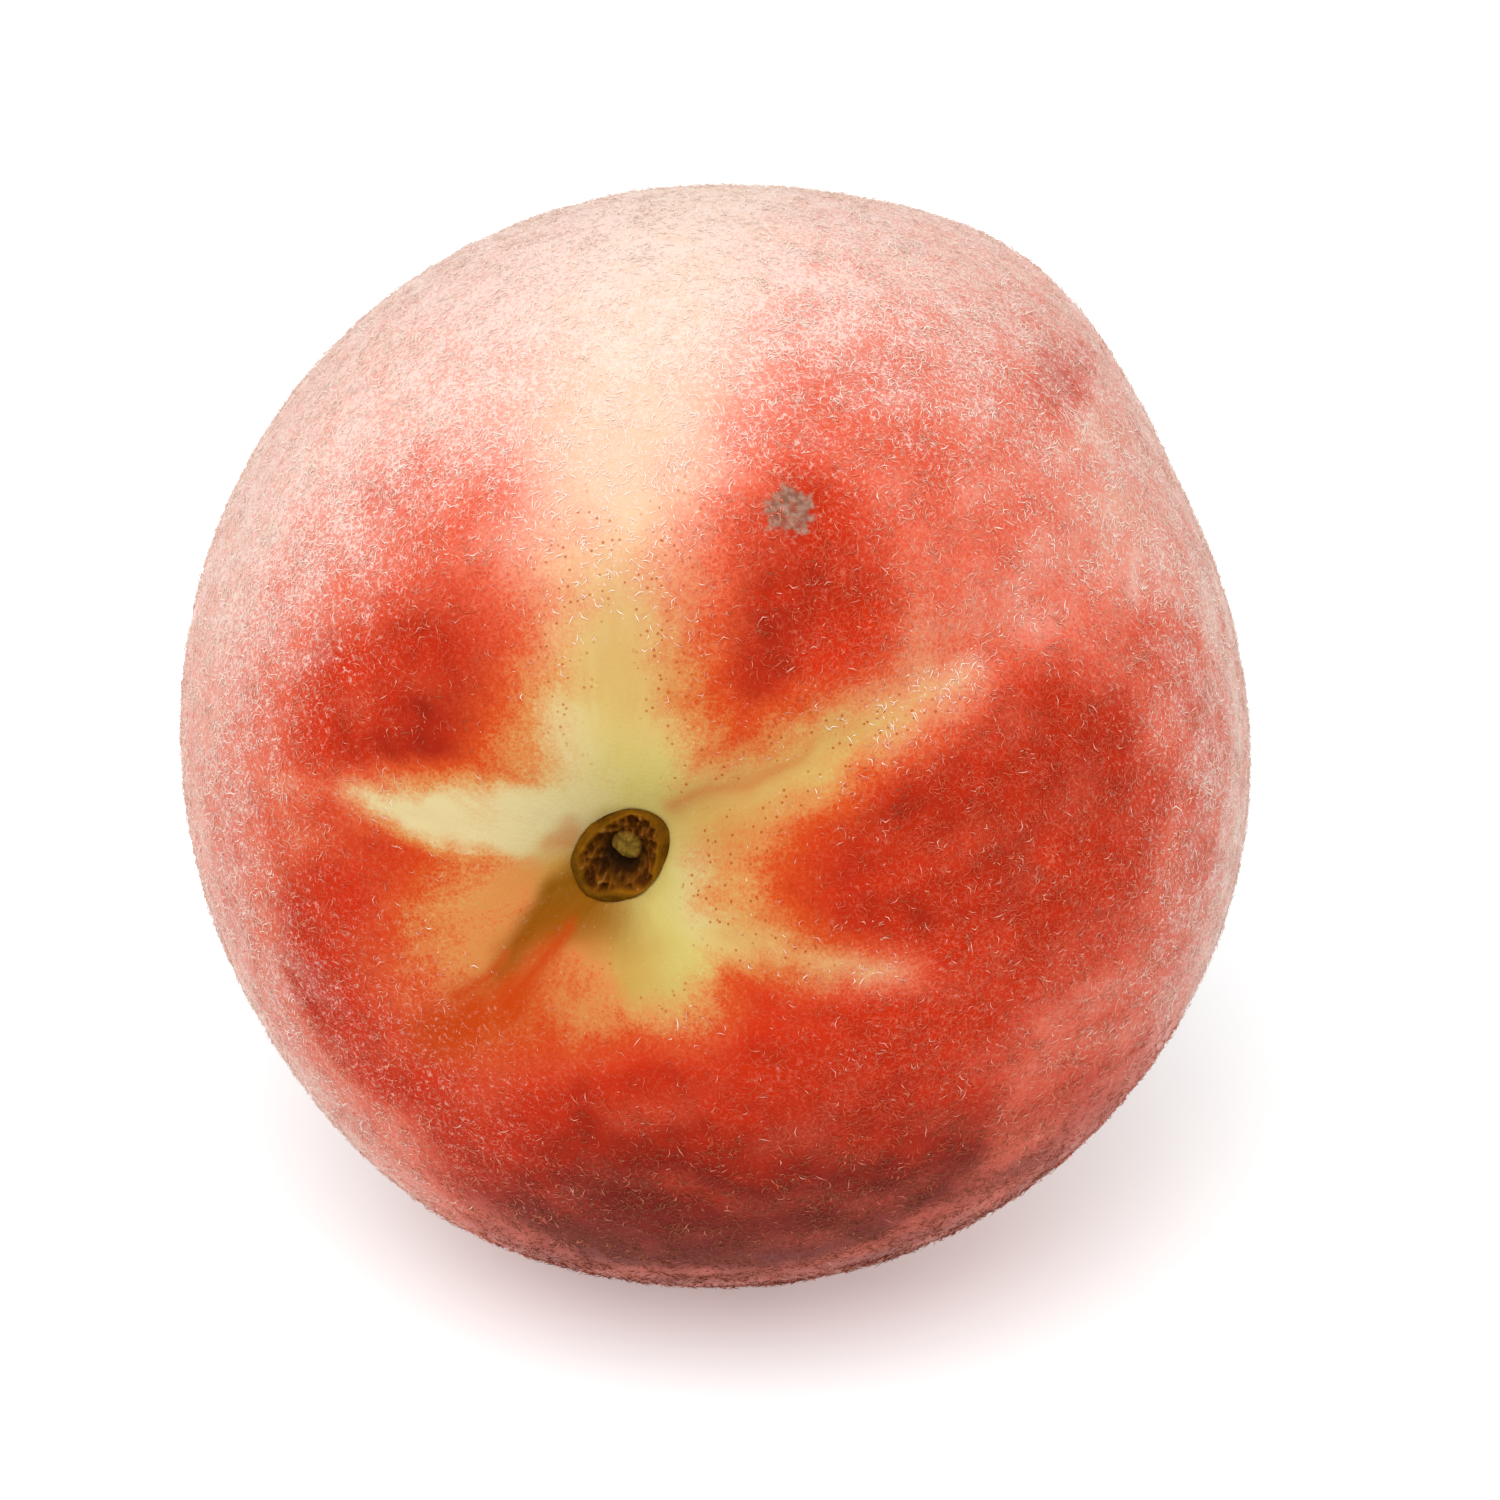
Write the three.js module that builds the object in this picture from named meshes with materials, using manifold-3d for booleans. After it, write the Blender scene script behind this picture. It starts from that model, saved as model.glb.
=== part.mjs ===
// A ripe peach with its stem pulled out, lying on its side on a small flat spot.
//
// Two solids: the fruit, which grew as one thing, and the dried base of the stem that is
// left in the bottom of its cavity. Millimetres, +Z up. The origin is on the surface that
// the peach lies on, under the middle of its box.
//
// The fruit is worked out in a frame of its own: +Z runs out of the stem cavity along the
// stem axis, and +X points to the seam (the suture). A place on it is given by two angles:
// fromStem, from the cavity (0) to the blunt tip (pi), and around, about the stem axis from
// the seam, counter-clockwise as seen from the stem.
import * as THREE from 'three';
import { mergeVertices } from 'three/addons/utils/BufferGeometryUtils.js';
import Module from 'manifold-3d';

const radians = THREE.MathUtils.degToRad;

// ---- Driving dimensions: millimetres, and degrees where the name ends in DEG ----

// The globe
const GLOBE_RADIUS = 36; // half the width across the cheeks
const POLE_FLATTENING = 0.045; // share by which the fruit is short along its stem axis
const OVAL_SHARE = 0.0165; // share by which the fruit is wide one way and slim the other
const OVAL_AROUND_DEG = 60; // where it is wide

// The stem cavity: a wide dish with a narrow funnel in it, both longer along the seam
const DISH_DEPTH = 4.3;
const DISH_SPREAD_DEG = 23;
const FUNNEL_DEPTH = 3;
const FUNNEL_SPREAD_DEG = 9.8;
const CAVITY_STRETCH = 0.12;

// The seam: a narrow crease that fades away from the stem, in a broad valley
const CREASE_DEPTH = 1.1;
const CREASE_HALF_WIDTH = 2.8;
const CREASE_REACH_DEG = 62;
const VALLEY_DEPTH = 1.5;
const VALLEY_HALF_WIDTH = 11;

// The short furrow on the other side of the cavity
const FURROW_AROUND_DEG = 200;
const FURROW_DEPTH = 0.9;
const FURROW_HALF_WIDTH = 2.2;
const FURROW_MIDDLE_DEG = 15;
const FURROW_SPREAD_DEG = 13;

// The blunt tip: a small point in a shallow dimple
const TIP_DIMPLE_DEPTH = 0.9;
const TIP_DIMPLE_SPREAD_DEG = 17;
const TIP_POINT_HEIGHT = 1.2;
const TIP_POINT_SPREAD_DEG = 5.5;

// Low swellings and flats that make this fruit uneven
const SWELLINGS = [
  { name: 'shoulder beside the seam', fromStemDeg: 112, aroundDeg: 29, height: 1.6, spreadDeg: 16 },
  { name: 'shoulder across from it', fromStemDeg: 68, aroundDeg: 211, height: 0.6, spreadDeg: 18 },
  { name: 'flat beyond the seam', fromStemDeg: 106, aroundDeg: 338, height: -0.5, spreadDeg: 20 },
  { name: 'low crown', fromStemDeg: 107, aroundDeg: 72, height: -0.4, spreadDeg: 30 },
];

// How the fruit lies
const STEM_RISE_DEG = 10.3; // how far the stem axis points above the level
const STEM_TURN_DEG = 14; // how far it is turned from -Y towards -X
const SEAM_ROLL_DEG = -56; // how far the seam is rolled about the stem axis from the top
const CENTRE_HEIGHT = 36.9; // the fruit's own centre above the surface that it lies on

// The dried stem base
const STUB_HALF_LENGTH = 3.9;
const STUB_HALF_WIDTH = 3.05;
const STUB_AROUND_DEG = 14; // where its long way points
const STUB_TOP = 28.75; // its rim, along the stem axis from the fruit's centre
const STUB_HEIGHT = 2.1;
const STUB_BASE_SHARE = 0.86; // its base against its rim
const STUB_RIM_SHARE = 0.93; // where the rim is highest, from its middle to its edge
const STUB_HOLLOW_DEPTH = 1.1;
const STUB_HOLLOW_SHARE = 0.62; // how much of the stub the hollow takes
const STUB_NUB_HEIGHT = 0.9;
const STUB_NUB_RADIUS = 0.8;
const STUB_NUB_PLACE = [0.55, 0.15]; // along and across the stub from its middle
const SEAT_GAP = 0.3; // between the stub and its socket

// Fineness
const FRUIT_RINGS_NEAR_STEM = 14;
const NEAR_STEM_DEG = 30;
const FRUIT_RINGS_BEYOND = 32;
const FRUIT_SECTORS = 64;
const SECTOR_CROWDING = 0.45; // sectors are this share narrower at the seam
const STUB_TOP_RINGS = 8;
const STUB_SECTORS = 32;

// ---- The fruit's surface ----

// A smooth hump, 1 in the middle and falling away over its spread.
function hump(distance, spread) {
  return Math.exp(-((distance / spread) ** 2));
}

// The unit vector at two angles in the fruit's own frame.
function direction(fromStem, around) {
  return new THREE.Vector3(
    Math.sin(fromStem) * Math.cos(around),
    Math.sin(fromStem) * Math.sin(around),
    Math.cos(fromStem),
  );
}

// A globe shorter along its axis and slightly oval about it.
function globe(fromStem, around) {
  const short = (POLE_FLATTENING * (3 * Math.cos(fromStem) ** 2 - 1)) / 2;
  const turned = 2 * (around - radians(OVAL_AROUND_DEG));
  const oval = OVAL_SHARE * Math.sin(fromStem) ** 2 * Math.cos(turned);
  return GLOBE_RADIUS * (1 - short + oval);
}

// The depth of the dish and the funnel in it, stretched along the seam.
function cavity(fromStem, around) {
  const stretch = 1 + CAVITY_STRETCH * Math.cos(2 * around);
  const angle = fromStem / stretch;
  return (
    DISH_DEPTH * hump(angle, radians(DISH_SPREAD_DEG)) +
    FUNNEL_DEPTH * hump(angle, radians(FUNNEL_SPREAD_DEG))
  );
}

// The depth of a groove whose line runs from stem to tip at one angle around: the crease
// and the valley are humps across that line, and only its own half of the fruit has them.
function seam(fromStem, around) {
  const across = GLOBE_RADIUS * Math.sin(fromStem) * Math.sin(around);
  const side = (1 + Math.tanh(4 * Math.sin(fromStem) * Math.cos(around))) / 2;
  const crease = CREASE_DEPTH * hump(fromStem, radians(CREASE_REACH_DEG));
  const valley = VALLEY_DEPTH * (1.1 - fromStem / Math.PI);
  return (
    side * crease * hump(across, CREASE_HALF_WIDTH) +
    side * valley * hump(across, VALLEY_HALF_WIDTH)
  );
}

// The short furrow: a hump across its line and a hump along it.
function furrow(fromStem, around) {
  const turned = around - radians(FURROW_AROUND_DEG);
  const across = GLOBE_RADIUS * Math.sin(fromStem) * Math.sin(turned);
  const side = (1 + Math.tanh(8 * Math.sin(fromStem) * Math.cos(turned))) / 2;
  const along = hump(fromStem - radians(FURROW_MIDDLE_DEG), radians(FURROW_SPREAD_DEG));
  return FURROW_DEPTH * side * along * hump(across, FURROW_HALF_WIDTH);
}

// The tip's point less its dimple.
function tip(fromStem) {
  const fromTip = Math.PI - fromStem;
  return (
    TIP_POINT_HEIGHT * hump(fromTip, radians(TIP_POINT_SPREAD_DEG)) -
    TIP_DIMPLE_DEPTH * hump(fromTip, radians(TIP_DIMPLE_SPREAD_DEG))
  );
}

// The sum of the low swellings: each is a round hump about its own place.
function swellings(fromStem, around) {
  const here = direction(fromStem, around);
  return SWELLINGS.reduce((sum, { fromStemDeg, aroundDeg, height, spreadDeg }) => {
    const middle = direction(radians(fromStemDeg), radians(aroundDeg));
    const distance = Math.sqrt(2 * Math.max(0, 1 - here.dot(middle)));
    return sum + height * hump(distance, radians(spreadDeg));
  }, 0);
}

// The fruit's radius from its own centre.
function fruitRadius(fromStem, around) {
  return (
    globe(fromStem, around) -
    cavity(fromStem, around) -
    seam(fromStem, around) -
    furrow(fromStem, around) +
    tip(fromStem) +
    swellings(fromStem, around)
  );
}

// ---- Meshes ----

// A closed skin over rings of points, each with the same number of points, from a first
// single point to a last one. Faces point out when the rings turn counter-clockwise as seen
// from the first point.
function skinOverRings(first, rings, last) {
  const count = rings[0].length;
  const corners = [first, ...rings.flat(), last];
  const corner = (ring, sector) => 1 + ring * count + (sector % count);
  const lastRing = rings.length - 1;
  const lastCorner = corners.length - 1;
  const faces = [];
  for (let sector = 0; sector < count; sector++) {
    faces.push(0, corner(0, sector), corner(0, sector + 1));
    for (let ring = 0; ring < lastRing; ring++) {
      const [a, b] = [corner(ring, sector), corner(ring, sector + 1)];
      const [c, d] = [corner(ring + 1, sector), corner(ring + 1, sector + 1)];
      faces.push(a, c, d, a, d, b);
    }
    faces.push(corner(lastRing, sector), lastCorner, corner(lastRing, sector + 1));
  }
  const geometry = new THREE.BufferGeometry().setFromPoints(corners);
  geometry.setIndex(faces);
  return geometry;
}

// The angles of the rings: crowded in the cavity, wider over the rest of the fruit.
function ringAngles() {
  const edge = radians(NEAR_STEM_DEG);
  const nearStep = edge / FRUIT_RINGS_NEAR_STEM;
  const beyondStep = (Math.PI - edge) / (FRUIT_RINGS_BEYOND + 1);
  const near = Array.from({ length: FRUIT_RINGS_NEAR_STEM }, (_, ring) => nearStep * (ring + 1));
  const beyond = Array.from({ length: FRUIT_RINGS_BEYOND }, (_, ring) => edge + beyondStep * (ring + 1));
  return [...near, ...beyond];
}

// The angles of the sectors: narrower at the seam.
function sectorAngles() {
  return Array.from({ length: FRUIT_SECTORS }, (_, sector) => {
    const even = (2 * Math.PI * sector) / FRUIT_SECTORS;
    return even - SECTOR_CROWDING * Math.sin(even);
  });
}

function fruitSkin() {
  const at = (fromStem, around) =>
    direction(fromStem, around).multiplyScalar(fruitRadius(fromStem, around));
  const sectors = sectorAngles();
  const rings = ringAngles().map((fromStem) => sectors.map((around) => at(fromStem, around)));
  return skinOverRings(at(0, 0), rings, at(Math.PI, 0));
}

// The stub's top, in its own frame: a rim, a hollow inside it and an off-centre nub.
function stubHeight(along, across) {
  const share = Math.hypot(along / STUB_HALF_LENGTH, across / STUB_HALF_WIDTH);
  const rim = -2.5 * Math.max(0, share - STUB_RIM_SHARE) ** 1.5 * STUB_HALF_WIDTH;
  const hollow = STUB_HOLLOW_DEPTH * hump(share, STUB_HOLLOW_SHARE);
  const fromNub = Math.hypot(along - STUB_NUB_PLACE[0], across - STUB_NUB_PLACE[1]);
  return rim - hollow + STUB_NUB_HEIGHT * hump(fromNub, STUB_NUB_RADIUS);
}

// The stub: rings out to its edge, then down its tapered wall to its base.
function stubSolid() {
  const oval = (share, height) =>
    Array.from({ length: STUB_SECTORS }, (_, sector) => {
      const turn = (2 * Math.PI * sector) / STUB_SECTORS;
      const along = share * STUB_HALF_LENGTH * Math.cos(turn);
      const across = share * STUB_HALF_WIDTH * Math.sin(turn);
      return new THREE.Vector3(along, across, height ?? stubHeight(along, across));
    });
  const top = Array.from({ length: STUB_TOP_RINGS }, (_, ring) => oval((ring + 1) / STUB_TOP_RINGS));
  const base = oval(STUB_BASE_SHARE, -STUB_HEIGHT);
  return skinOverRings(
    new THREE.Vector3(0, 0, stubHeight(0, 0)),
    [...top, base],
    new THREE.Vector3(0, 0, -STUB_HEIGHT),
  );
}

// ---- Cutting ----

const wasm = await Module();
wasm.setup();

function toSolid(geometry) {
  const bare = geometry.clone();
  bare.deleteAttribute('normal');
  bare.deleteAttribute('uv');
  const merged = mergeVertices(bare);
  const mesh = new wasm.Mesh({
    numProp: 3,
    vertProperties: new Float32Array(merged.getAttribute('position').array),
    triVerts: new Uint32Array(merged.getIndex().array),
  });
  return new wasm.Manifold(mesh);
}

function toGeometry(solid) {
  const mesh = solid.getMesh();
  const geometry = new THREE.BufferGeometry();
  geometry.setAttribute('position', new THREE.BufferAttribute(mesh.vertProperties, 3));
  geometry.setIndex(new THREE.BufferAttribute(mesh.triVerts, 1));
  return geometry;
}

// ---- How the fruit lies ----

// The turn that takes the fruit's own frame to how it lies: its +Z to the stem axis, and its
// +X to the seam, rolled about that axis from the direction nearest to up.
function lyingTurn() {
  const rise = radians(STEM_RISE_DEG);
  const turn = radians(STEM_TURN_DEG);
  const stem = new THREE.Vector3(-Math.sin(turn), -Math.cos(turn), Math.tan(rise)).normalize();
  const nearestUp = new THREE.Vector3(0, 0, 1).projectOnPlane(stem).normalize();
  const toSeam = nearestUp.applyAxisAngle(stem, radians(SEAM_ROLL_DEG));
  const side = new THREE.Vector3().crossVectors(stem, toSeam);
  return new THREE.Matrix4().makeBasis(toSeam, side, stem);
}

// ---- The two solids ----

const lie = lyingTurn();

// The flat spot is where a level block cuts the lying fruit.
const blockSize = 4 * GLOBE_RADIUS;
const restBlock = new THREE.BoxGeometry(blockSize, blockSize, blockSize)
  .translate(0, 0, -CENTRE_HEIGHT - blockSize / 2)
  .applyMatrix4(lie.clone().invert());

// The socket is the stub's outline with a gap around it and under it.
const socketHeight = GLOBE_RADIUS;
const socket = new THREE.CylinderGeometry(1, 1, socketHeight, STUB_SECTORS)
  .rotateX(Math.PI / 2)
  .scale(STUB_HALF_LENGTH + SEAT_GAP, STUB_HALF_WIDTH + SEAT_GAP, 1)
  .rotateZ(radians(STUB_AROUND_DEG))
  .translate(0, 0, STUB_TOP - STUB_HEIGHT - SEAT_GAP + socketHeight / 2);

const fruitGeometry = toGeometry(
  toSolid(fruitSkin()).subtract(toSolid(restBlock)).subtract(toSolid(socket)),
);

const fruit = new THREE.Mesh(
  fruitGeometry,
  new THREE.MeshStandardMaterial({ color: 0xd96a5a, roughness: 0.75, metalness: 0 }),
);
fruit.name = 'peach_fruit';

const stub = new THREE.Mesh(
  stubSolid(),
  new THREE.MeshStandardMaterial({ color: 0x6b4418, roughness: 0.9, metalness: 0 }),
);
stub.name = 'stem_stub';
stub.position.z = STUB_TOP;
stub.rotation.z = radians(STUB_AROUND_DEG);

// ---- The peach ----

const lying = new THREE.Group();
lying.add(fruit, stub);
lying.quaternion.setFromRotationMatrix(lie);
lying.position.z = CENTRE_HEIGHT;

// The origin goes under the middle of the fruit's box.
const middle = new THREE.Box3().setFromObject(lying, true).getCenter(new THREE.Vector3());
lying.position.x = -middle.x;
lying.position.y = -middle.y;

const peach = new THREE.Group();
peach.add(lying);

export default peach;
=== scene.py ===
# %% [markdown]
# # A ripe peach, lying on its side
#
# This lesson dresses a plain solid peach in its real skin. The solid comes from a packed
# model that fixes every size: a fruit about 72 mm across, and the dried base of its stem.
# We build three things over it: the skin, worked out from one formula for its radius; the
# stem base, worked out from a formula for its height; and the down, which is about a
# hundred and sixty thousand tiny hairs of real mesh.

import bpy
import numpy as np
from mathutils import Matrix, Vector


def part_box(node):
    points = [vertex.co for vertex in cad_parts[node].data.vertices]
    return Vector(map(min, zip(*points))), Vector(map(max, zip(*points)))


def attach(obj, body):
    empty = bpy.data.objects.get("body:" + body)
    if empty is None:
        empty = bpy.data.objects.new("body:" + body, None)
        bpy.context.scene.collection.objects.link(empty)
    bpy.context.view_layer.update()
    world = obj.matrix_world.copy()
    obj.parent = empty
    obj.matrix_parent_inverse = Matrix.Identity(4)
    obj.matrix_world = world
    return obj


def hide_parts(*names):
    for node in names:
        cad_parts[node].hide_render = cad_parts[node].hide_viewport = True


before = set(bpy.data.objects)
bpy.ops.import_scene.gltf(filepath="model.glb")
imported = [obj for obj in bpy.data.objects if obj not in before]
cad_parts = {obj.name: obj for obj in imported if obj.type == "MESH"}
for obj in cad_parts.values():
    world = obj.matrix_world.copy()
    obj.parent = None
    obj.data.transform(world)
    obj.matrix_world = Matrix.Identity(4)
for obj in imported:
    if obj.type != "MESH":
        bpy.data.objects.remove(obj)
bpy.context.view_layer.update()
print("packed nodes:", sorted(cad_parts))

MM = 0.001  # Blender works in metres, and this script in millimetres

# %% [markdown]
# ## Putting arrays into a mesh
#
# A grown shape is easiest to make as a formula on a grid: numpy works out every point at
# once, and `foreach_set` hands whole arrays to Blender. The other way, adding vertices one
# at a time in a loop, gives the same mesh far more slowly.


# %% A mesh from arrays
def mesh_object(name, points_mm, corners, material=None, smooth=True):
    """Makes an object from an array of points in millimetres and an array of triangles."""
    mesh = bpy.data.meshes.new(name)
    mesh.vertices.add(len(points_mm))
    mesh.vertices.foreach_set("co", (np.asarray(points_mm) * MM).astype(np.float32).ravel())
    mesh.loops.add(corners.size)
    mesh.loops.foreach_set("vertex_index", corners.astype(np.int32).ravel())
    mesh.polygons.add(len(corners))
    mesh.polygons.foreach_set("loop_start", np.arange(0, corners.size, 3, dtype=np.int32))
    mesh.polygons.foreach_set("use_smooth", np.full(len(corners), smooth))
    mesh.update(calc_edges=True)
    mesh.validate()
    thing = bpy.data.objects.new(name, mesh)
    bpy.context.collection.objects.link(thing)
    if material is not None:
        mesh.materials.append(material)
    print(f"{name}: {len(points_mm)} points, {len(corners)} triangles")
    return thing


def closed_over_rings(rings, sectors):
    """Triangles over a first point, rings of points and a last point, all facing out.

    Point 0 is the first pole, then come rings times sectors points ring by ring, and the
    other pole is last. Each square between two rings is cut along one diagonal.
    """
    ring = np.arange(rings - 1)[:, None] * sectors
    here = np.arange(sectors)[None, :]
    beside = (here + 1) % sectors
    a, b = 1 + ring + here, 1 + ring + beside
    c, d = a + sectors, b + sectors
    squares = np.concatenate([np.stack([a, c, d], -1), np.stack([a, d, b], -1)]).reshape(-1, 3)
    last = 1 + rings * sectors
    here, beside = here[0], beside[0]
    first_fan = np.stack([np.zeros_like(here), 1 + here, 1 + beside], -1)
    last_ring = last - sectors
    last_fan = np.stack([last_ring + here, np.full_like(here, last), last_ring + beside], -1)
    return np.concatenate([first_fan, squares, last_fan])


# %% [markdown]
# ## The shape of the fruit
#
# A peach grows as a globe that is a little short along its stem axis. It is drawn in at the
# stem, where the flesh swells up round the stalk, and folded along one side, where the two
# edges of the young fruit met: that fold is the seam. We could sculpt all this on a sphere,
# but a formula is shorter and can be repeated at any fineness: the radius at each place is
# a globe, less a cavity, less a seam, less a furrow, plus a few low swellings.
#
# A place on the fruit is given by two angles in the fruit's own frame: how far it is from
# the stem, and how far round it is from the seam.

# %% The fruit's dimensions, in millimetres and degrees
GLOBE_RADIUS = 36
POLE_FLATTENING = 0.045
OVAL_SHARE, OVAL_AROUND = 0.0165, 60
DISH_DEPTH, DISH_SPREAD = 4.3, 23
FUNNEL_DEPTH, FUNNEL_SPREAD = 3, 9.8
CAVITY_STRETCH = 0.12
CREASE_DEPTH, CREASE_HALF_WIDTH, CREASE_REACH = 1.1, 2.8, 62
VALLEY_DEPTH, VALLEY_HALF_WIDTH = 1.5, 11
VALLEY_AT_STEM = 1.1  # times its depth at the stem, and 1 less than that at the tip
SEAM_SHARPNESS, FURROW_SHARPNESS = 4, 8  # how soon each ends on the other half of the fruit
FURROW_AROUND, FURROW_DEPTH, FURROW_HALF_WIDTH = 200, 0.9, 2.2
FURROW_MIDDLE, FURROW_SPREAD = 15, 13
TIP_DIMPLE_DEPTH, TIP_DIMPLE_SPREAD = 0.9, 17
TIP_POINT_HEIGHT, TIP_POINT_SPREAD = 1.2, 5.5
SWELLINGS = [  # degrees from the stem, degrees around, height, spread
    (112, 29, 1.6, 16),  # shoulder beside the seam
    (68, 211, 0.6, 18),  # shoulder across from it
    (106, 338, -0.5, 20),  # flat beyond the seam
    (107, 72, -0.4, 30),  # low crown
]


# %% The radius formula
def hump(distance, spread):
    """1 in the middle, falling away as exp(-(distance / spread) squared)."""
    return np.exp(-((distance / spread) ** 2))


def direction(from_stem, around):
    """The unit vectors at two angles, with Z out of the cavity and X towards the seam."""
    parts = np.broadcast_arrays(
        np.sin(from_stem) * np.cos(around), np.sin(from_stem) * np.sin(around), np.cos(from_stem)
    )
    return np.stack(parts, -1)


def globe(from_stem, around):
    """A globe shorter along its axis and slightly oval about it."""
    short = POLE_FLATTENING * (3 * np.cos(from_stem) ** 2 - 1) / 2
    oval = OVAL_SHARE * np.sin(from_stem) ** 2 * np.cos(2 * (around - np.radians(OVAL_AROUND)))
    return GLOBE_RADIUS * (1 - short + oval)


def cavity(from_stem, around):
    """The depth of a wide dish and of a funnel in it, both stretched along the seam."""
    angle = from_stem / (1 + CAVITY_STRETCH * np.cos(2 * around))
    dish = DISH_DEPTH * hump(angle, np.radians(DISH_SPREAD))
    return dish + FUNNEL_DEPTH * hump(angle, np.radians(FUNNEL_SPREAD))


def across_line(from_stem, turned, sharpness):
    """Millimetres across a stem-to-tip line, and a mask that is 1 on its half of the fruit."""
    across = GLOBE_RADIUS * np.sin(from_stem) * np.sin(turned)
    side = (1 + np.tanh(sharpness * np.sin(from_stem) * np.cos(turned))) / 2
    return across, side


def seam(from_stem, around):
    """A narrow crease that fades away from the stem, in a broad valley."""
    across, side = across_line(from_stem, around, SEAM_SHARPNESS)
    crease = CREASE_DEPTH * hump(from_stem, np.radians(CREASE_REACH))
    valley = VALLEY_DEPTH * (VALLEY_AT_STEM - from_stem / np.pi)
    return side * (crease * hump(across, CREASE_HALF_WIDTH) + valley * hump(across, VALLEY_HALF_WIDTH))


def furrow(from_stem, around):
    """The short furrow opposite the seam: a hump along its line times one across it."""
    turned = around - np.radians(FURROW_AROUND)
    across, side = across_line(from_stem, turned, FURROW_SHARPNESS)
    along = hump(from_stem - np.radians(FURROW_MIDDLE), np.radians(FURROW_SPREAD))
    return FURROW_DEPTH * side * along * hump(across, FURROW_HALF_WIDTH)


def tip(from_stem):
    """The blunt tip: a small point in a shallow dimple."""
    from_tip = np.pi - from_stem
    point = TIP_POINT_HEIGHT * hump(from_tip, np.radians(TIP_POINT_SPREAD))
    return point - TIP_DIMPLE_DEPTH * hump(from_tip, np.radians(TIP_DIMPLE_SPREAD))


def swellings(here):
    """The sum of the low swellings, each a round hump about its own place."""
    total = 0
    for from_stem, around, height, spread in SWELLINGS:
        middle = direction(np.radians(from_stem), np.radians(around))
        distance = np.sqrt(2 * np.maximum(0, 1 - here @ middle))
        total = total + height * hump(distance, np.radians(spread))
    return total


def fruit_radius(from_stem, around):
    """The globe, less the cavity, seam and furrow, plus the tip and swellings."""
    taken = cavity(from_stem, around) + seam(from_stem, around) + furrow(from_stem, around)
    added = tip(from_stem) + swellings(direction(from_stem, around))
    return globe(from_stem, around) - taken + added


for place_name, degrees_away in (("cavity", 0.0), ("cheek", 90.0), ("tip", 180.0)):
    radius = fruit_radius(np.radians([degrees_away]), np.radians([90.0]))[0]
    print("radius at the", place_name, "in mm:", round(float(radius), 2))

# %% [markdown]
# ## How it lies
#
# The peach lies on its side, and its cavity looks forward, a little up and a little to one
# side. The turn is built from three angles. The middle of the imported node's box gives its
# place on the floor, and its height is a number, so the skin lands where the solid is.

# %% The lying turn and the fruit's centre
STEM_RISE, STEM_TURN, SEAM_ROLL = 10.3, 14, -56
CENTRE_HEIGHT = 36.9


def lying_turn():
    """A matrix whose columns are the seam's way, the side's way and the stem's way."""
    rise, turn, roll = np.radians([STEM_RISE, STEM_TURN, SEAM_ROLL])
    stem = np.array([-np.sin(turn), -np.cos(turn), np.tan(rise)])
    stem /= np.linalg.norm(stem)
    nearest_up = np.array([0, 0, 1]) - stem * stem[2]
    nearest_up /= np.linalg.norm(nearest_up)
    to_seam = np.cos(roll) * nearest_up + np.sin(roll) * np.cross(stem, nearest_up)
    return np.stack([to_seam, np.cross(stem, to_seam), stem], 1)


LIE = lying_turn()


def centre_of_fruit():
    """The fruit's own centre, placed so that a coarse copy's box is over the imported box."""
    from_stem = np.linspace(0, np.pi, 181)[:, None]
    around = np.linspace(0, 2 * np.pi, 361)[None, :]
    points = (fruit_radius(from_stem, around)[..., None] * direction(from_stem, around)) @ LIE.T
    middle = (points.min((0, 1)) + points.max((0, 1))) / 2
    packed = np.mean([list(corner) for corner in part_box("peach_fruit")], axis=0) / MM
    return np.array([packed[0] - middle[0], packed[1] - middle[1], CENTRE_HEIGHT])


CENTRE = centre_of_fruit()


def placed(points):
    """Points in the fruit's own frame, put where the fruit lies."""
    return points @ LIE.T + CENTRE


print("fruit centre, mm:", CENTRE.round(2))

# %% [markdown]
# ## The camera
#
# The camera looks along +Y and down at the fruit, through a long lens from nearly half a
# metre away, as one would take a portrait of a fruit on a table.

# %% Camera
VIEW_DOWN = 28
LENS, SENSOR = 160, 36
DISTANCE = 450
PICTURE = 1500  # pixels on a side
FRUIT_AT = (717.6, 735.2)  # the pixel where the fruit's centre shows


def add_camera():
    """Puts the camera so that the fruit's centre falls on its pixel."""
    down = np.radians(VIEW_DOWN)
    right = np.array([1, 0, 0])
    up = np.array([0, np.sin(down), np.cos(down)])
    back = np.array([0, -np.cos(down), np.sin(down)])
    mm_per_pixel = DISTANCE * SENSOR / LENS / PICTURE
    aside = (PICTURE / 2 - FRUIT_AT[0]) * mm_per_pixel
    above = (FRUIT_AT[1] - PICTURE / 2) * mm_per_pixel
    camera = bpy.data.objects.new("camera", bpy.data.cameras.new("camera"))
    camera.data.lens = LENS
    camera.data.sensor_width = SENSOR
    camera.data.clip_start = 0.01
    camera.location = (CENTRE + DISTANCE * back + aside * right + above * up) * MM
    camera.rotation_euler = (np.pi / 2 - down, 0, 0)
    bpy.context.collection.objects.link(camera)
    bpy.context.scene.camera = camera
    print("camera at, mm:", (np.array(camera.location) / MM).round(1))


add_camera()

# %% [markdown]
# ## Smooth random fields
#
# Nothing on a fruit has a ruler's edge. A sum of sine waves that run in random ways gives a
# smooth, shapeless unevenness at any size, and the same seed always gives the same one.


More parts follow.
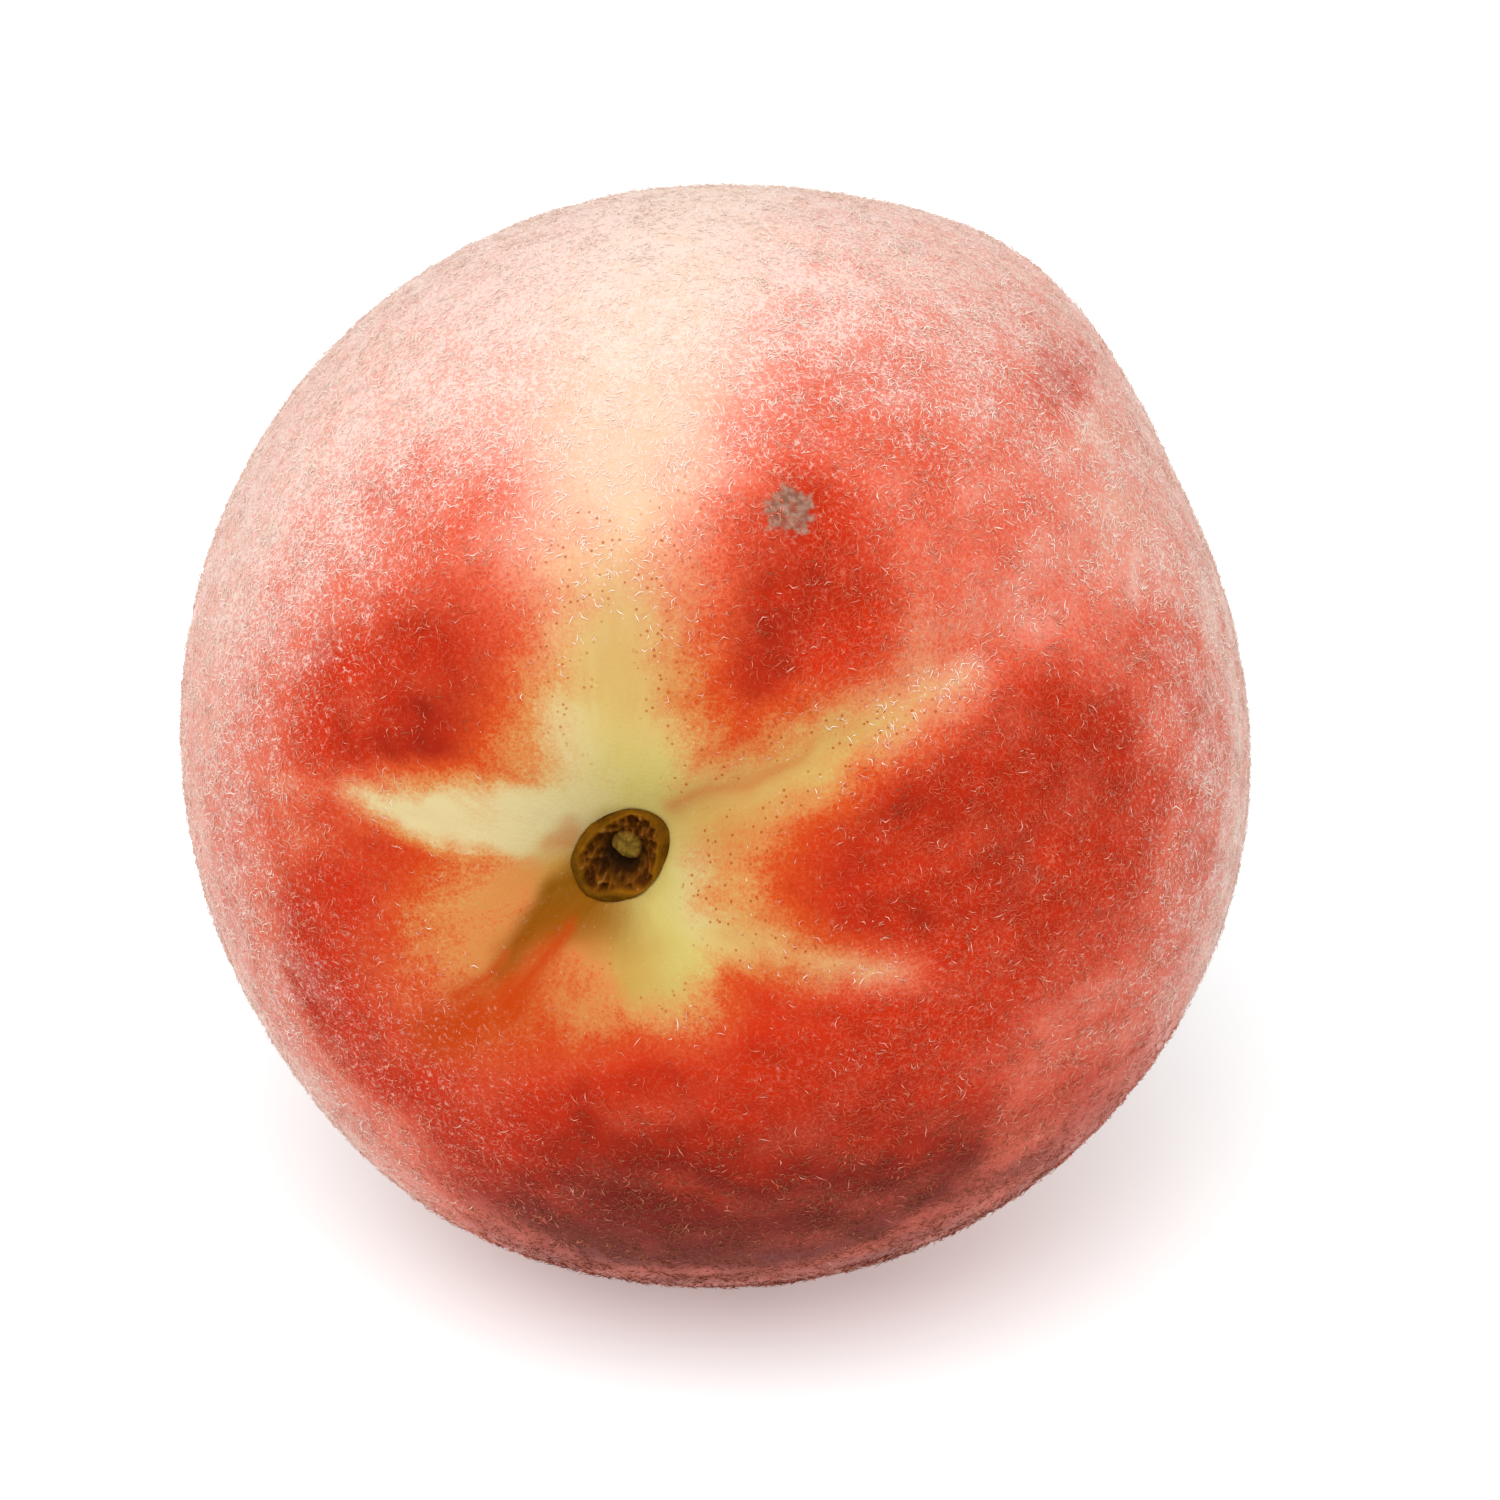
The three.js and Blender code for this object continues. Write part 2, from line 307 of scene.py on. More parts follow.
# %% Random fields
def waves(points, size, seed, count=24):
    """A smooth random field: sine waves about size mm long that run in random ways.

    Their sum is divided by the root of half their count, which makes its usual swing 1.
    """
    draw = np.random.default_rng(seed)
    ways = draw.normal(size=(count, 3))
    ways /= np.linalg.norm(ways, axis=1, keepdims=True)
    pace = 2 * np.pi / (size * draw.uniform(0.7, 1.6, count))
    start = draw.uniform(0, 2 * np.pi, count)
    return np.sin(points @ (ways * pace[:, None]).T + start).sum(-1) / np.sqrt(count / 2)


def layered(points, layers):
    """Waves of several sizes added up; each layer gives its size, its seed and its strength."""
    return sum(strength * waves(points, size, seed) for size, seed, strength in layers)


print("a random field at the origin:", round(float(waves(np.zeros(3), 5, 8)), 3))


# %% [markdown]
# ## A chart of the skin
#
# The colours of a peach are laid out round its stem: a pale yellow-green star where the
# leaves and the twig shaded it, and red lobes between the star's rays where the sun fell.
# They are easiest to place on a flat chart with the stem in the middle. A place's distance
# from the middle is its angle from the stem, in degrees, and the chart is turned so that
# the seam runs off to the right and a little up.
#
# Each marking is an oval or a tapering line, and its edge's width says how softly it fades.
# Painting a texture by hand would be freer, but a few named shapes stay sharp at any size,
# and each can be moved by changing one number.


# %% Shapes on the chart
CHART_TURN = 28


def chart(from_stem, around):
    """Chart places in degrees: across and up."""
    turned = around + np.radians(CHART_TURN)
    return np.degrees(from_stem) * np.cos(turned), np.degrees(from_stem) * np.sin(turned)


def fade(inside, edge):
    """0 to 1 over an edge so many degrees wide, as a smooth step centred on it."""
    share = np.clip(0.5 + inside / edge, 0, 1)
    return share * share * (3 - 2 * share)


def ovals(across, up, shapes):
    """One array for each oval: its amount, faded over its edge."""
    found = []
    for middle, long, wide, turn, edge, amount in shapes:
        cos, sin = np.cos(np.radians(turn)), np.sin(np.radians(turn))
        x, y = across - middle[0], up - middle[1]
        share = np.hypot((cos * x + sin * y) / long, (cos * y - sin * x) / wide)
        found.append(amount * fade((1 - share) * np.sqrt(long * wide), edge))
    return found


def lines(across, up, shapes):
    """One array for each tapering line: its amount, faded over its edge."""
    found = []
    for start, end, widths, edge, amount in shapes:
        run = np.subtract(end, start)
        x, y = across - start[0], up - start[1]
        share = np.clip((x * run[0] + y * run[1]) / (run @ run), 0, 1)
        away = np.hypot(x - share * run[0], y - share * run[1])
        found.append(amount * fade(widths[0] + share * (widths[1] - widths[0]) - away, edge))
    return found


def most(parts):
    """The largest of several amounts, place by place."""
    return np.max(parts, axis=0)


def together(parts):
    """Amounts laid over each other, like thin coats: each covers part of what is left."""
    left = 1
    for part in parts:
        left = left * (1 - part)
    return 1 - left


print("two coats of a half cover:", together([0.5, 0.5]))

# %% The markings
# Ovals: middle, half length, half width, turn, edge, amount.
# Lines: start, end, half widths, edge, amount.

# Where the sun reddened the skin, and where it is darkest: deep red, and on the underside also painted
# shade
RED_LOBES = [
    ((-17, 17), 28, 19, 20, 25, 1.0),
    ((-24, 24), 36, 28, 25, 30, 0.66),
    ((20, 27), 23, 18, 80, 18, 1.0),
    ((25, 40), 30, 22, 60, 22, 0.68),
    ((34, 22), 22, 14, 30, 20, 0.66),
    ((46, 58), 32, 20, 35, 30, 0.62),
    ((60, 60), 16, 7, 55, 12, 0.8),
    ((54, 74), 12, 6, -20, 12, 0.65),
    ((45, 2), 27, 28, 24, 22, 1.0),
    ((60, 6), 30, 34, 30, 30, 0.7),
    ((62, -22), 28, 26, 10, 26, 0.64),
    ((8, -34), 40, 30, 0, 18, 1.0),
    ((28, -20), 24, 18, 0, 18, 1.0),
    ((-24, -14), 22, 22, 0, 14, 1.0),
    ((-36, -8), 26, 40, 0, 22, 0.62),
    ((14, -58), 50, 20, 0, 18, 0.85),
    ((56, -48), 30, 20, -30, 24, 0.8),
    ((48, 34), 20, 13, 30, 20, 0.72),
]
DEEP_RED_AND_PAINTED_SHADE = [
    ((-13, 17), 15, 10, 30, 20, 0.56),
    ((19, 29), 11, 8, 80, 14, 0.45),
    ((41, 5), 22, 14, 20, 26, 0.35),
    ((0, -42), 12, 12, 0, 18, 0.8),
    ((18, -30), 22, 9, 0, 16, 0.22),
    # the underside: partly its own deep red, partly painted shade under the fruit
    ((16, -62), 52, 27, 0, 24, 1.0),
]

# The pale star, its green and milky parts, and the warmer ground round it
PALE_RAYS = [
    ((-3, 5), (-30, 8.2), (8, 1.4), 7, 0.97),
    ((-28, 8.2), (-39, 8), (1.6, 0.6), 5, 0.5),
    ((0.5, 5), (3, 26), (12.8, 9.2), 18, 0.97),
    ((3, 26), (3, 42), (9.5, 9), 20, 0.85),
    ((3, 42), (2, 100), (10, 16), 24, 0.95),
    ((5, 4), (28, 14.5), (6.6, 4.6), 12, 0.97),
    ((28, 14.5), (44, 22), (4.6, 2), 12, 0.95),
    ((44, 26), (66, 42), (5, 10), 22, 0.35),
    ((10, -7), (20, -9.3), (4.4, 3), 9, 0.92),
    ((20, -9.3), (33, -12.5), (3, 1.2), 9, 0.85),
    ((5, -3), (6, -10), (9, 8.5), 12, 0.97),
]
PALE_MIDDLE = [
    ((0, 1), 14, 15, 0, 18, 1.0),
    ((-11, -6.5), 16, 12, 40, 22, 0.66),
    ((-3, -15), 8, 6, 0, 12, 0.6),
]
GREEN_MIDDLE = [((2, 2), 17, 15, 0, 12, 1.0)]
GREEN_RAYS = [
    ((2, -4), (6, -12), (9, 7.5), 8, 1.0),
    ((0, 4), (-30, 8), (9, 4), 8, 0.45),
    ((6, 3), (37, 19), (9, 5), 12, 0.6),
    ((2, 6), (3, 28), (9, 6), 12, 0.55),
]
MILKY_RAY = [
    ((-8, 5), (-30, 8), (7, 3.5), 8, 0.65),
    ((12, 0), (12, -4), (3, 3), 6, 0.4),
    ((-3, 9), (-4, 18), (4, 3), 8, 0.5),
]
YELLOW_GROUND = [((3, 3), 42, 30, 20, 30, 1.0)]
OCHRE_GROUND = [
    ((-9, -7), 10, 8, 40, 8, 0.95),
    ((-2, -14), 9, 6, 20, 8, 0.7),
    ((-16, -10), 9, 7, 40, 10, 0.6),
    ((22, 10), 18, 5, 25, 7, 0.25),
    ((-6.2, 3.8), 3, 1.8, 48, 3, 0.4),
    ((17, 0), 5, 8, 0, 6, 0.25),
]

# Where the small dots show
SPECKLED = [
    ((24, 5), 26, 17, 20, 12, 1.0),
    ((4, 28), 13, 17, 0, 12, 0.9),
    ((8, -14), 12, 6, 0, 8, 0.7),
]

# Where the down whitens the skin, and where it lies in tufts. Most of these patches lie at
# the fruit's edge as the camera sees it and are painted sheen of the down seen edgeways;
# the one over the top is also a painted highlight
THICK_DOWN_AND_PAINTED_SHEEN = [
    ((-44, 66), 46, 32, 45, 40, 0.4),
    ((0, 92), 62, 40, 0, 56, 0.66),
    ((-62, 12), 22, 60, 0, 46, 0.34),
    ((94, 14), 26, 70, 0, 56, 0.42),
    ((80, -40), 28, 24, 20, 40, 0.22),
    ((-38, 36), 20, 16, 60, 30, 0.22),
    ((64, 66), 30, 22, 40, 40, 0.28),
    ((-52, -48), 26, 16, -45, 30, 0.36),
    ((-30, -30), 26, 16, -40, 24, 0.15),
]
CLUMPED = [((84, 24), 28, 50, 0, 30, 0.2)]

# The bruised furrow: orange-brown beside it, olive in it. The olive is partly bruise and
# partly painted shade, in the furrow's crease and in a soft ring round the stem base
AMBER_STREAKS = [
    ((-5.5, -9.2), (-12, -15.8), (0.5, 1.5), 3, 1.0),
    ((-12, -15.8), (-20.5, -20.5), (2.0, 3.2), 6, 1.0),
    ((-13, -10.5), (-19, -15.6), (0.4, 0.9), 2, 0.8),
    ((8.7, 7.4), (25, 13.6), (0.7, 0.5), 2.6, 0.36),
    ((10, 8), (30, 16), (1.4, 1.0), 5, 0.25),
]
AMBER_WASHES = [
    ((17, 7), 9, 6, 20, 8, 0.16),
    ((22, -9), 9, 4, -10, 6, 0.22),
    ((6, 27), 7, 8, 0, 8, 0.2),
    ((-12, -16), 9, 5.5, 45, 9, 0.34),
    ((-5, -17.5), 6, 4, 0, 6, 0.16),
    ((-6.2, 3.8), 2.6, 1.1, 48, 2.6, 0.3),
]
OLIVE_AND_PAINTED_SHADE_BY_STEM = [
    # the first: painted shade round the stem base; the second: olive and painted shade where the furrow
    # starts
    ((-0.2, -0.4), 7.6, 6.4, 42, 4, 0.4),
    ((-5.6, -5.6), 5.4, 4, 45, 5, 1.0),
    ((-1.2, -8), 5, 2.6, 0, 6, 0.6),
]
OLIVE_STREAK = [
    ((-6.6, -5.8), (-14, -13.2), (3.0, 1.2), 4, 1.0),
    ((-14, -14), (-17, -16), (0.7, 0.3), 3, 0.4),
]

# Small healed hurts
SCAB = [((22, 40), 2.4, 2.2, 20, 2.4, 1.0)]
SCUFFS = [((67, 28), (70, 35), (1.2, 0.8), 3, 0.35)]
print(len(RED_LOBES), "red lobes,", len(DEEP_RED_AND_PAINTED_SHADE), "dark patches,", len(PALE_RAYS), "pale rays")

# %% The markings that are fields
BENDS = [(8, 0.3), (2.2, 0.25)]  # each wave's size in mm, and how far it bends the chart
CHEEK_BLUSH = 0.5  # red that isn't in a lobe, and its waves: size, seed, number, strength
CHEEK_WAVES = [(70, 7, 8, 0.12), (5, 17, 24, 0.03)]
BEHIND_FROM, BEHIND_EDGE, BEHIND_YELLOW = 118, 50, 0.65  # the yellow ground of the far end
GROWN_FROM, GROWN_EDGE = 28, 32  # from where the hairs tint the skin, in degrees
TIP_SCAB_FROM, TIP_SCAB_EDGE, TIP_SCAB = 178, 2, 0.8  # the dry speck on the tip
RED_MOTTLE = [(5, 8, 0.03)]  # size in mm, seed, strength
DARK_MOTTLE = [(5, 9, 0.05), (2, 14, 0.05)]
TUFT_WAVES = [(5, 10, 0.5), (2.4, 15, 0.4), (1.3, 16, 0.3)]


def bent(places, points, seeds):
    """Chart places moved a little by random waves, so that no marking has a ruled edge."""
    for (size, far), seed in zip(BENDS, seeds):
        places = places + far * waves(points, size, seed)
    return places


def markings(from_stem, around, points):
    """Every marking's amount at each place.

    Red is the larger of the lobes and a drifting blush, less the pale star. Where several
    shapes of one marking meet, either the largest counts or they are laid over each other.
    """
    across, up = chart(from_stem, around)
    across, up = bent(across, points, (1, 2)), bent(up, points, (3, 4))
    pale = most(lines(across, up, PALE_RAYS) + ovals(across, up, PALE_MIDDLE))
    lobes = most(ovals(across, up, RED_LOBES))
    cheek = CHEEK_BLUSH
    for size, seed, count, strength in CHEEK_WAVES:
        cheek = cheek + strength * waves(points, size, seed, count)
    sunny = np.maximum(cheek, lobes)
    behind = fade(np.degrees(from_stem) - BEHIND_FROM, BEHIND_EDGE)
    tip_scab = TIP_SCAB * fade(np.degrees(from_stem) - TIP_SCAB_FROM, TIP_SCAB_EDGE)
    red = np.clip(sunny * (1 - pale) + layered(points, RED_MOTTLE), 0, 1)
    dark = together(ovals(across, up, DEEP_RED_AND_PAINTED_SHADE))
    dark = dark + layered(points, DARK_MOTTLE) * lobes
    amber_parts = lines(across, up, AMBER_STREAKS) + ovals(across, up, AMBER_WASHES)
    downy_and_painted_sheen = together(ovals(across, up, THICK_DOWN_AND_PAINTED_SHEEN))
    downy_and_painted_sheen = downy_and_painted_sheen * (1 + layered(points, TUFT_WAVES) * most(ovals(across, up, CLUMPED)))
    olive_parts = ovals(across, up, OLIVE_AND_PAINTED_SHADE_BY_STEM) + lines(across, up, OLIVE_STREAK)
    return {
        "red": red,
        "dark": np.clip(dark * (1 - pale), 0, 1),
        "yellow": np.maximum(most(ovals(across, up, YELLOW_GROUND)), BEHIND_YELLOW * behind),
        "green": most(ovals(across, up, GREEN_MIDDLE) + lines(across, up, GREEN_RAYS)),
        "downy_and_painted_sheen": np.clip(downy_and_painted_sheen, 0, 1),
        "grown": fade(np.hypot(across, up) - GROWN_FROM, GROWN_EDGE),
        "milky": most(lines(across, up, MILKY_RAY)),
        "ochre": together(ovals(across, up, OCHRE_GROUND)),
        "speckled": most(ovals(across, up, SPECKLED)),
        "amber": together(amber_parts),
        "olive": together(olive_parts),
        "scab": most(ovals(across, up, SCAB) + [tip_scab]),
        "scuff": together(lines(across, up, SCUFFS)),
    }


# %% [markdown]
# ## The skin
#
# The skin is one closed sheet: rings about the stem axis, closed at both ends. The rings
# are close together in the cavity, where the shape turns most, and wider apart beyond it.
# In the middle of the cavity the sheet dips into the small oval socket that the stem base
# sits in, and underneath it is cut flat where it rests on the floor.

# %% The skin's points
STUB_HALF_LENGTH, STUB_HALF_WIDTH, STUB_AROUND = 3.65, 2.7, 14
STUB_ALONG, STUB_ASIDE = 0.4, -0.1  # where its middle is, from the stem axis
STUB_FLOOR = 25.3  # the stem base's underside, from the fruit's centre
SEAT_GAP = -0.04  # the socket is this much too tight, so that no light gap shows
CAVITY_RINGS, OUTER_RINGS, SECTORS = 90, 172, 320
CAVITY_EDGE = 35  # degrees from the stem
RING_CROWDING, SECTOR_CROWDING = 1.15, 0.25  # how much finer the grid is by the stem and seam
SOCKET_CLEARANCE = 0.1  # between the socket's floor and the stem base
FLOOR_SHARES, WALL_SHARES = (0.45, 0.9, 1.0), (0.5, 0.85, 0.97)  # rings in the socket
SOCKET_ANGLE = 0.1  # what the socket's middle counts as, in radians from the stem
FIRST_GUESS, GUESSES = 0.12, 12  # of an angle in radians, and how often it is bettered


def oval_edge(around, gap=0):
    """How far the stem base's outline is from the stem axis, with a gap round it.

    The outline is an oval with its centre a shift away from the axis, so this is the
    distance at which a ray from the axis leaves the oval.
    """
    turned = around - np.radians(STUB_AROUND)
    long, wide = STUB_HALF_LENGTH + gap, STUB_HALF_WIDTH + gap
    square = (np.cos(turned) / long) ** 2 + (np.sin(turned) / wide) ** 2
    half = STUB_ALONG * np.cos(turned) / long**2 + STUB_ASIDE * np.sin(turned) / wide**2
    rest = (STUB_ALONG / long) ** 2 + (STUB_ASIDE / wide) ** 2 - 1
    return (half + np.sqrt(half**2 - square * rest)) / square


def angle_over(reach, around):
    """The angle from the stem at which the skin is so far from the stem's axis.

    The sine of that angle is the reach over the radius there, so guess, and guess again.
    """
    angle = np.full_like(around, FIRST_GUESS)
    for _ in range(GUESSES):
        angle = np.arcsin(reach / fruit_radius(angle, around))
    return angle


def skin_points():
    """The skin's two angles and its points, ring by ring, in the fruit's own frame.

    First come the flat floor and the upright wall of the socket, then the skin itself.
    """
    even = np.arange(SECTORS) / SECTORS * 2 * np.pi
    around = even - SECTOR_CROWDING * np.sin(even)
    rim = oval_edge(around, SEAT_GAP)
    edge = angle_over(rim, around)
    floor = STUB_FLOOR - SOCKET_CLEARANCE
    angles, places = [], []
    for share in FLOOR_SHARES:
        flat = [share * rim * np.cos(around), share * rim * np.sin(around), 0 * rim + floor]
        angles.append(edge)
        places.append(np.stack(flat, 1))
    top = fruit_radius(edge, around) * np.cos(edge)
    for share in WALL_SHARES:
        height = floor + share * (top - floor)
        angles.append(edge)
        places.append(np.stack([rim * np.cos(around), rim * np.sin(around), height], 1))
    steps = np.linspace(0, 1, CAVITY_RINGS) ** RING_CROWDING
    cavity_angles = edge + steps[:, None] * (np.radians(CAVITY_EDGE) - edge)
    outer = np.linspace(np.radians(CAVITY_EDGE), np.pi, OUTER_RINGS + 2)[1:-1]
    for angle in list(cavity_angles) + list(outer):
        angle = angle + 0 * around
        angles.append(angle)
        places.append(fruit_radius(angle, around)[:, None] * direction(angle, around))
    tip_radius = fruit_radius(np.array([np.pi]), np.array([0.0]))[0]
    all_angles = np.concatenate([[SOCKET_ANGLE]] + angles + [[np.pi]])
    all_around = np.concatenate([[0]] + [around] * len(angles) + [[0]])
    ends = [np.array([[0, 0, floor]]), np.array([[0, 0, -tip_radius]])]
    return all_angles, all_around, np.concatenate([ends[0]] + places + [ends[1]])


from_stem, around, own_points = skin_points()
skin_rings = len(FLOOR_SHARES) + len(WALL_SHARES) + CAVITY_RINGS + OUTER_RINGS
skin_world = placed(own_points)
skin_world[:, 2] = np.maximum(skin_world[:, 2], 0)  # the small flat that it rests on
skin_marks = markings(from_stem, around, own_points)
for mark_name, values in skin_marks.items():
    print(mark_name, "from", round(float(values.min()), 2), "to", round(float(values.max()), 2))

# %% [markdown]
# ## Building materials
#
# A material is a tree of nodes, and making each node takes several lines. A few small
# helpers, one for each kind of node, let the trees read like formulas. Materials read the
# places on the object itself, and the amounts of the markings that are kept on its mesh.


# %% Node helpers
def new_material(name):
    """A material with its node tree and its shader."""
    material = bpy.data.materials.new(name)
    material.use_nodes = True
    return material, material.node_tree, material.node_tree.nodes["Principled BSDF"]


def give(tree, socket, value):
    """Links a socket to another, or sets its number or colour."""
    if isinstance(value, bpy.types.NodeSocket):
        tree.links.new(value, socket)
    else:
        socket.default_value = value


def math(tree, operation, *values, clamp=False):
    """A Math node's result."""
    node = tree.nodes.new("ShaderNodeMath")
    node.operation = operation
    node.use_clamp = clamp
    for socket, value in zip(node.inputs, values):
        give(tree, socket, value)
    return node.outputs[0]


def step(tree, value, low, high, to_low=0.0, to_high=1.0):
    """A Map Range node's result: low to high, made to_low to to_high."""
    node = tree.nodes.new("ShaderNodeMapRange")
    for name, amount in (("Value", value), ("From Min", low), ("From Max", high)):
        give(tree, node.inputs[name], amount)
    give(tree, node.inputs["To Min"], to_low)
    give(tree, node.inputs["To Max"], to_high)
    return node.outputs["Result"]


def blend(tree, share, first, second):
    """A Mix node's result for colours."""
    node = tree.nodes.new("ShaderNodeMix")
    node.data_type = "RGBA"
    give(tree, node.inputs[0], share)
    give(tree, node.inputs[6], (*first, 1) if isinstance(first, tuple) else first)
    give(tree, node.inputs[7], (*second, 1) if isinstance(second, tuple) else second)
    return node.outputs[2]


def noise(tree, place, per_mm, detail):
    """A Noise node's value; its spots are about 1 / per_mm millimetres wide."""
    node = tree.nodes.new("ShaderNodeTexNoise")
    give(tree, node.inputs["Vector"], place)
    node.inputs["Scale"].default_value = per_mm / MM
    node.inputs["Detail"].default_value = detail
    return node.outputs["Fac"]


def amount(tree, name):
    """The amount of one marking, from the mesh."""
    node = tree.nodes.new("ShaderNodeAttribute")
    node.attribute_name = name
    return node.outputs["Fac"]


def own_place(tree):
    """Places on the object itself."""
    return tree.nodes.new("ShaderNodeTexCoord").outputs["Object"]


def curls(tree, place, per_mm):
    """1 along thin curling lines, where a smooth noise crosses its middle, and less off them."""
    away = math(tree, "ABSOLUTE", math(tree, "SUBTRACT", noise(tree, place, per_mm, 0.0), 0.5))
    return math(tree, "MULTIPLY_ADD", away, -5.0, 1.0)


# %% [markdown]
# ## Fine grain, for the skin and for the dry stem
#
# Skin and dry stem are both grainy: a close look finds rougher and smoother specks. The
# same few nodes serve both, so they are made once, as a node group, and each material
# gives the group its own size of speck and its own range of roughness.


# %% The grain group
SPECKS = (0.3, 0.7)  # the noise values that count as the lowest and the highest


def make_grain():
    """A group: noise at each place, and a roughness that runs with it between two ends."""
    group = bpy.data.node_groups.new("fine grain", "ShaderNodeTree")
    group.interface.new_socket(name="Place", in_out="INPUT", socket_type="NodeSocketVector")
    for name in ("Specks per metre", "Detail", "Smoothest", "Roughest"):
        group.interface.new_socket(name=name, in_out="INPUT", socket_type="NodeSocketFloat")
    for name in ("Grain", "Roughness"):
        group.interface.new_socket(name=name, in_out="OUTPUT", socket_type="NodeSocketFloat")
    given = group.nodes.new("NodeGroupInput").outputs
    specks = group.nodes.new("ShaderNodeTexNoise")
    give(group, specks.inputs["Vector"], given["Place"])
    give(group, specks.inputs["Scale"], given["Specks per metre"])
    give(group, specks.inputs["Detail"], given["Detail"])
    rough = step(group, specks.outputs["Fac"], *SPECKS, given["Smoothest"], given["Roughest"])
    results = group.nodes.new("NodeGroupOutput").inputs
    give(group, results["Grain"], specks.outputs["Fac"])
    give(group, results["Roughness"], rough)
    return group


FINE_GRAIN = make_grain()


def grain_of(tree, place, per_mm, detail, smoothest, roughest):
    """The group placed in a material: its grain, and its roughness."""
    node = tree.nodes.new("ShaderNodeGroup")
    node.node_tree = FINE_GRAIN
    give(tree, node.inputs["Place"], place)
    node.inputs["Specks per metre"].default_value = per_mm / MM
    node.inputs["Detail"].default_value = detail
    node.inputs["Smoothest"].default_value = smoothest
    node.inputs["Roughest"].default_value = roughest
    return node.outputs["Grain"], node.outputs["Roughness"]


print("group inputs:", [item.name for item in FINE_GRAIN.interface.items_tree if item.in_out == "INPUT"])

# %% [markdown]
# ## The skin's ground and blush
#
# Under the down a peach has a matt skin with three kinds of colour in it: a ground that
# goes from cream to yellow to green, a red blush over it, and brown where it was rubbed or
# dried. One smooth blend from pale to red would look airbrushed. The blush is really tiny
# dots and flecks that get denser, so the red amount is shaken by grain before it's used:
# most where it's half way, and not at all where it's pale or full.
#
# Near the stem the colours also run in faint fibres out from the middle. They are a noise
# on places that are stretched along those ways, which the mesh carries as "spokes".

# %% The ground's colours
CREAM = (0.62, 0.39, 0.27)
YELLOW = (0.5, 0.33, 0.12)
GREEN = (0.42, 0.34, 0.1)
MILKY = (0.5, 0.42, 0.24)
OCHRE = (0.36, 0.17, 0.025)
FIBRE_OCHRE = 0.07  # how much ochre the fibres add


def skin_textures(tree, place, grain):
    """The noises that several coats share, the redness and the nearness to the stem."""
    strands = math(tree, "MAXIMUM", curls(tree, place, 2.4), curls(tree, place, 3.7))
    broken = step(tree, noise(tree, place, 3.0, 1.0), 0.3, 0.7, -0.3, 0.1)
    spokes = tree.nodes.new("ShaderNodeAttribute")
    spokes.attribute_name = "spokes"
    return {
        "grain": grain,
        "mottle": noise(tree, place, 0.4, 4.0),
        "strands": math(tree, "ADD", strands, broken),
        "fibres": noise(tree, spokes.outputs["Vector"], 1.0, 3.0),
        "near": amount(tree, "yellow"),
        "red": amount(tree, "red"),
    }


def ground_colour(tree, look):
    """Cream, then yellow, green, milky and ochre over it by their amounts, then fibres."""
    colour = CREAM
    for name, over in (("yellow", YELLOW), ("green", GREEN), ("milky", MILKY), ("ochre", OCHRE)):
        colour = blend(tree, amount(tree, name), colour, over)
    fibred = step(tree, look["fibres"], 0.42, 0.68, 0.0, FIBRE_OCHRE)
    return blend(tree, math(tree, "MULTIPLY", look["near"], fibred), colour, OCHRE)


# %% The blush
PINK, ORANGE_PINK = (0.6, 0.22, 0.16), (0.46, 0.165, 0.045)  # the thinnest blush
PINK_RED, ORANGE_RED = (0.54, 0.09, 0.05), (0.43, 0.05, 0.007)  # half way
# maroon is the deepest red, and under the fruit also painted shade
RED, MAROON = (0.41, 0.018, 0.002), (0.13, 0.006, 0.002)  # the thickest
FLECK_STRENGTH = 2.6


def flecked_red(tree, look):
    """The red amount plus grain, strands, fibres and mottling times red times (1 - red)."""
    grain = step(tree, look["grain"], *SPECKS, -0.09, 0.09)
    grain = math(tree, "ADD", grain, step(tree, look["strands"], 0.3, 1.0, 0.12, -0.12))
    fringe = math(tree, "MULTIPLY", step(tree, look["fibres"], 0.3, 0.7, -0.1, 0.1), look["near"])
    uneven = math(tree, "ADD", grain, fringe)
    uneven = math(tree, "ADD", uneven, step(tree, look["mottle"], 0.3, 0.7, -0.11, 0.11))
    half = math(tree, "MULTIPLY", math(tree, "SUBTRACT", 1.0, look["red"]), look["red"])
    return math(tree, "MULTIPLY_ADD", math(tree, "MULTIPLY", half, FLECK_STRENGTH), uneven, look["red"])


def blushed(tree, ground, look):
    """Three coats over the ground, each warmer near the stem, and the last one darkened."""
    red = flecked_red(tree, look)
    darker = step(tree, look["mottle"], 0.35, 0.65, 0.12, -0.08)
    darker = math(tree, "MULTIPLY", darker, step(tree, look["red"], 0.6, 1.0))
    # dark: deep red, and on the underside also painted shade
    dark = math(tree, "ADD", amount(tree, "dark"), darker, clamp=True)
    thin = blend(tree, look["near"], PINK, ORANGE_PINK)
    middling = blend(tree, look["near"], PINK_RED, ORANGE_RED)
    colour = blend(tree, step(tree, red, 0.06, 0.38), ground, thin)
    colour = blend(tree, step(tree, red, 0.38, 0.68), colour, middling)
    return blend(tree, step(tree, red, 0.68, 1.0), colour, blend(tree, dark, RED, MAROON))


# %% [markdown]
# ## The skin's small marks
#
# The furrow is bruised olive and amber, the pale rays carry tiny brown dots where the skin
# breathes, and a few hurts have healed to dry crumbs. The olive is also painted shade, in
# the furrow's crease and round the stem base. The stains and that shade are thin coats over
# the blush. The dots are the middles of random cells, of which some are left out, and they
# show only where the blush is thin, as on a real fruit.

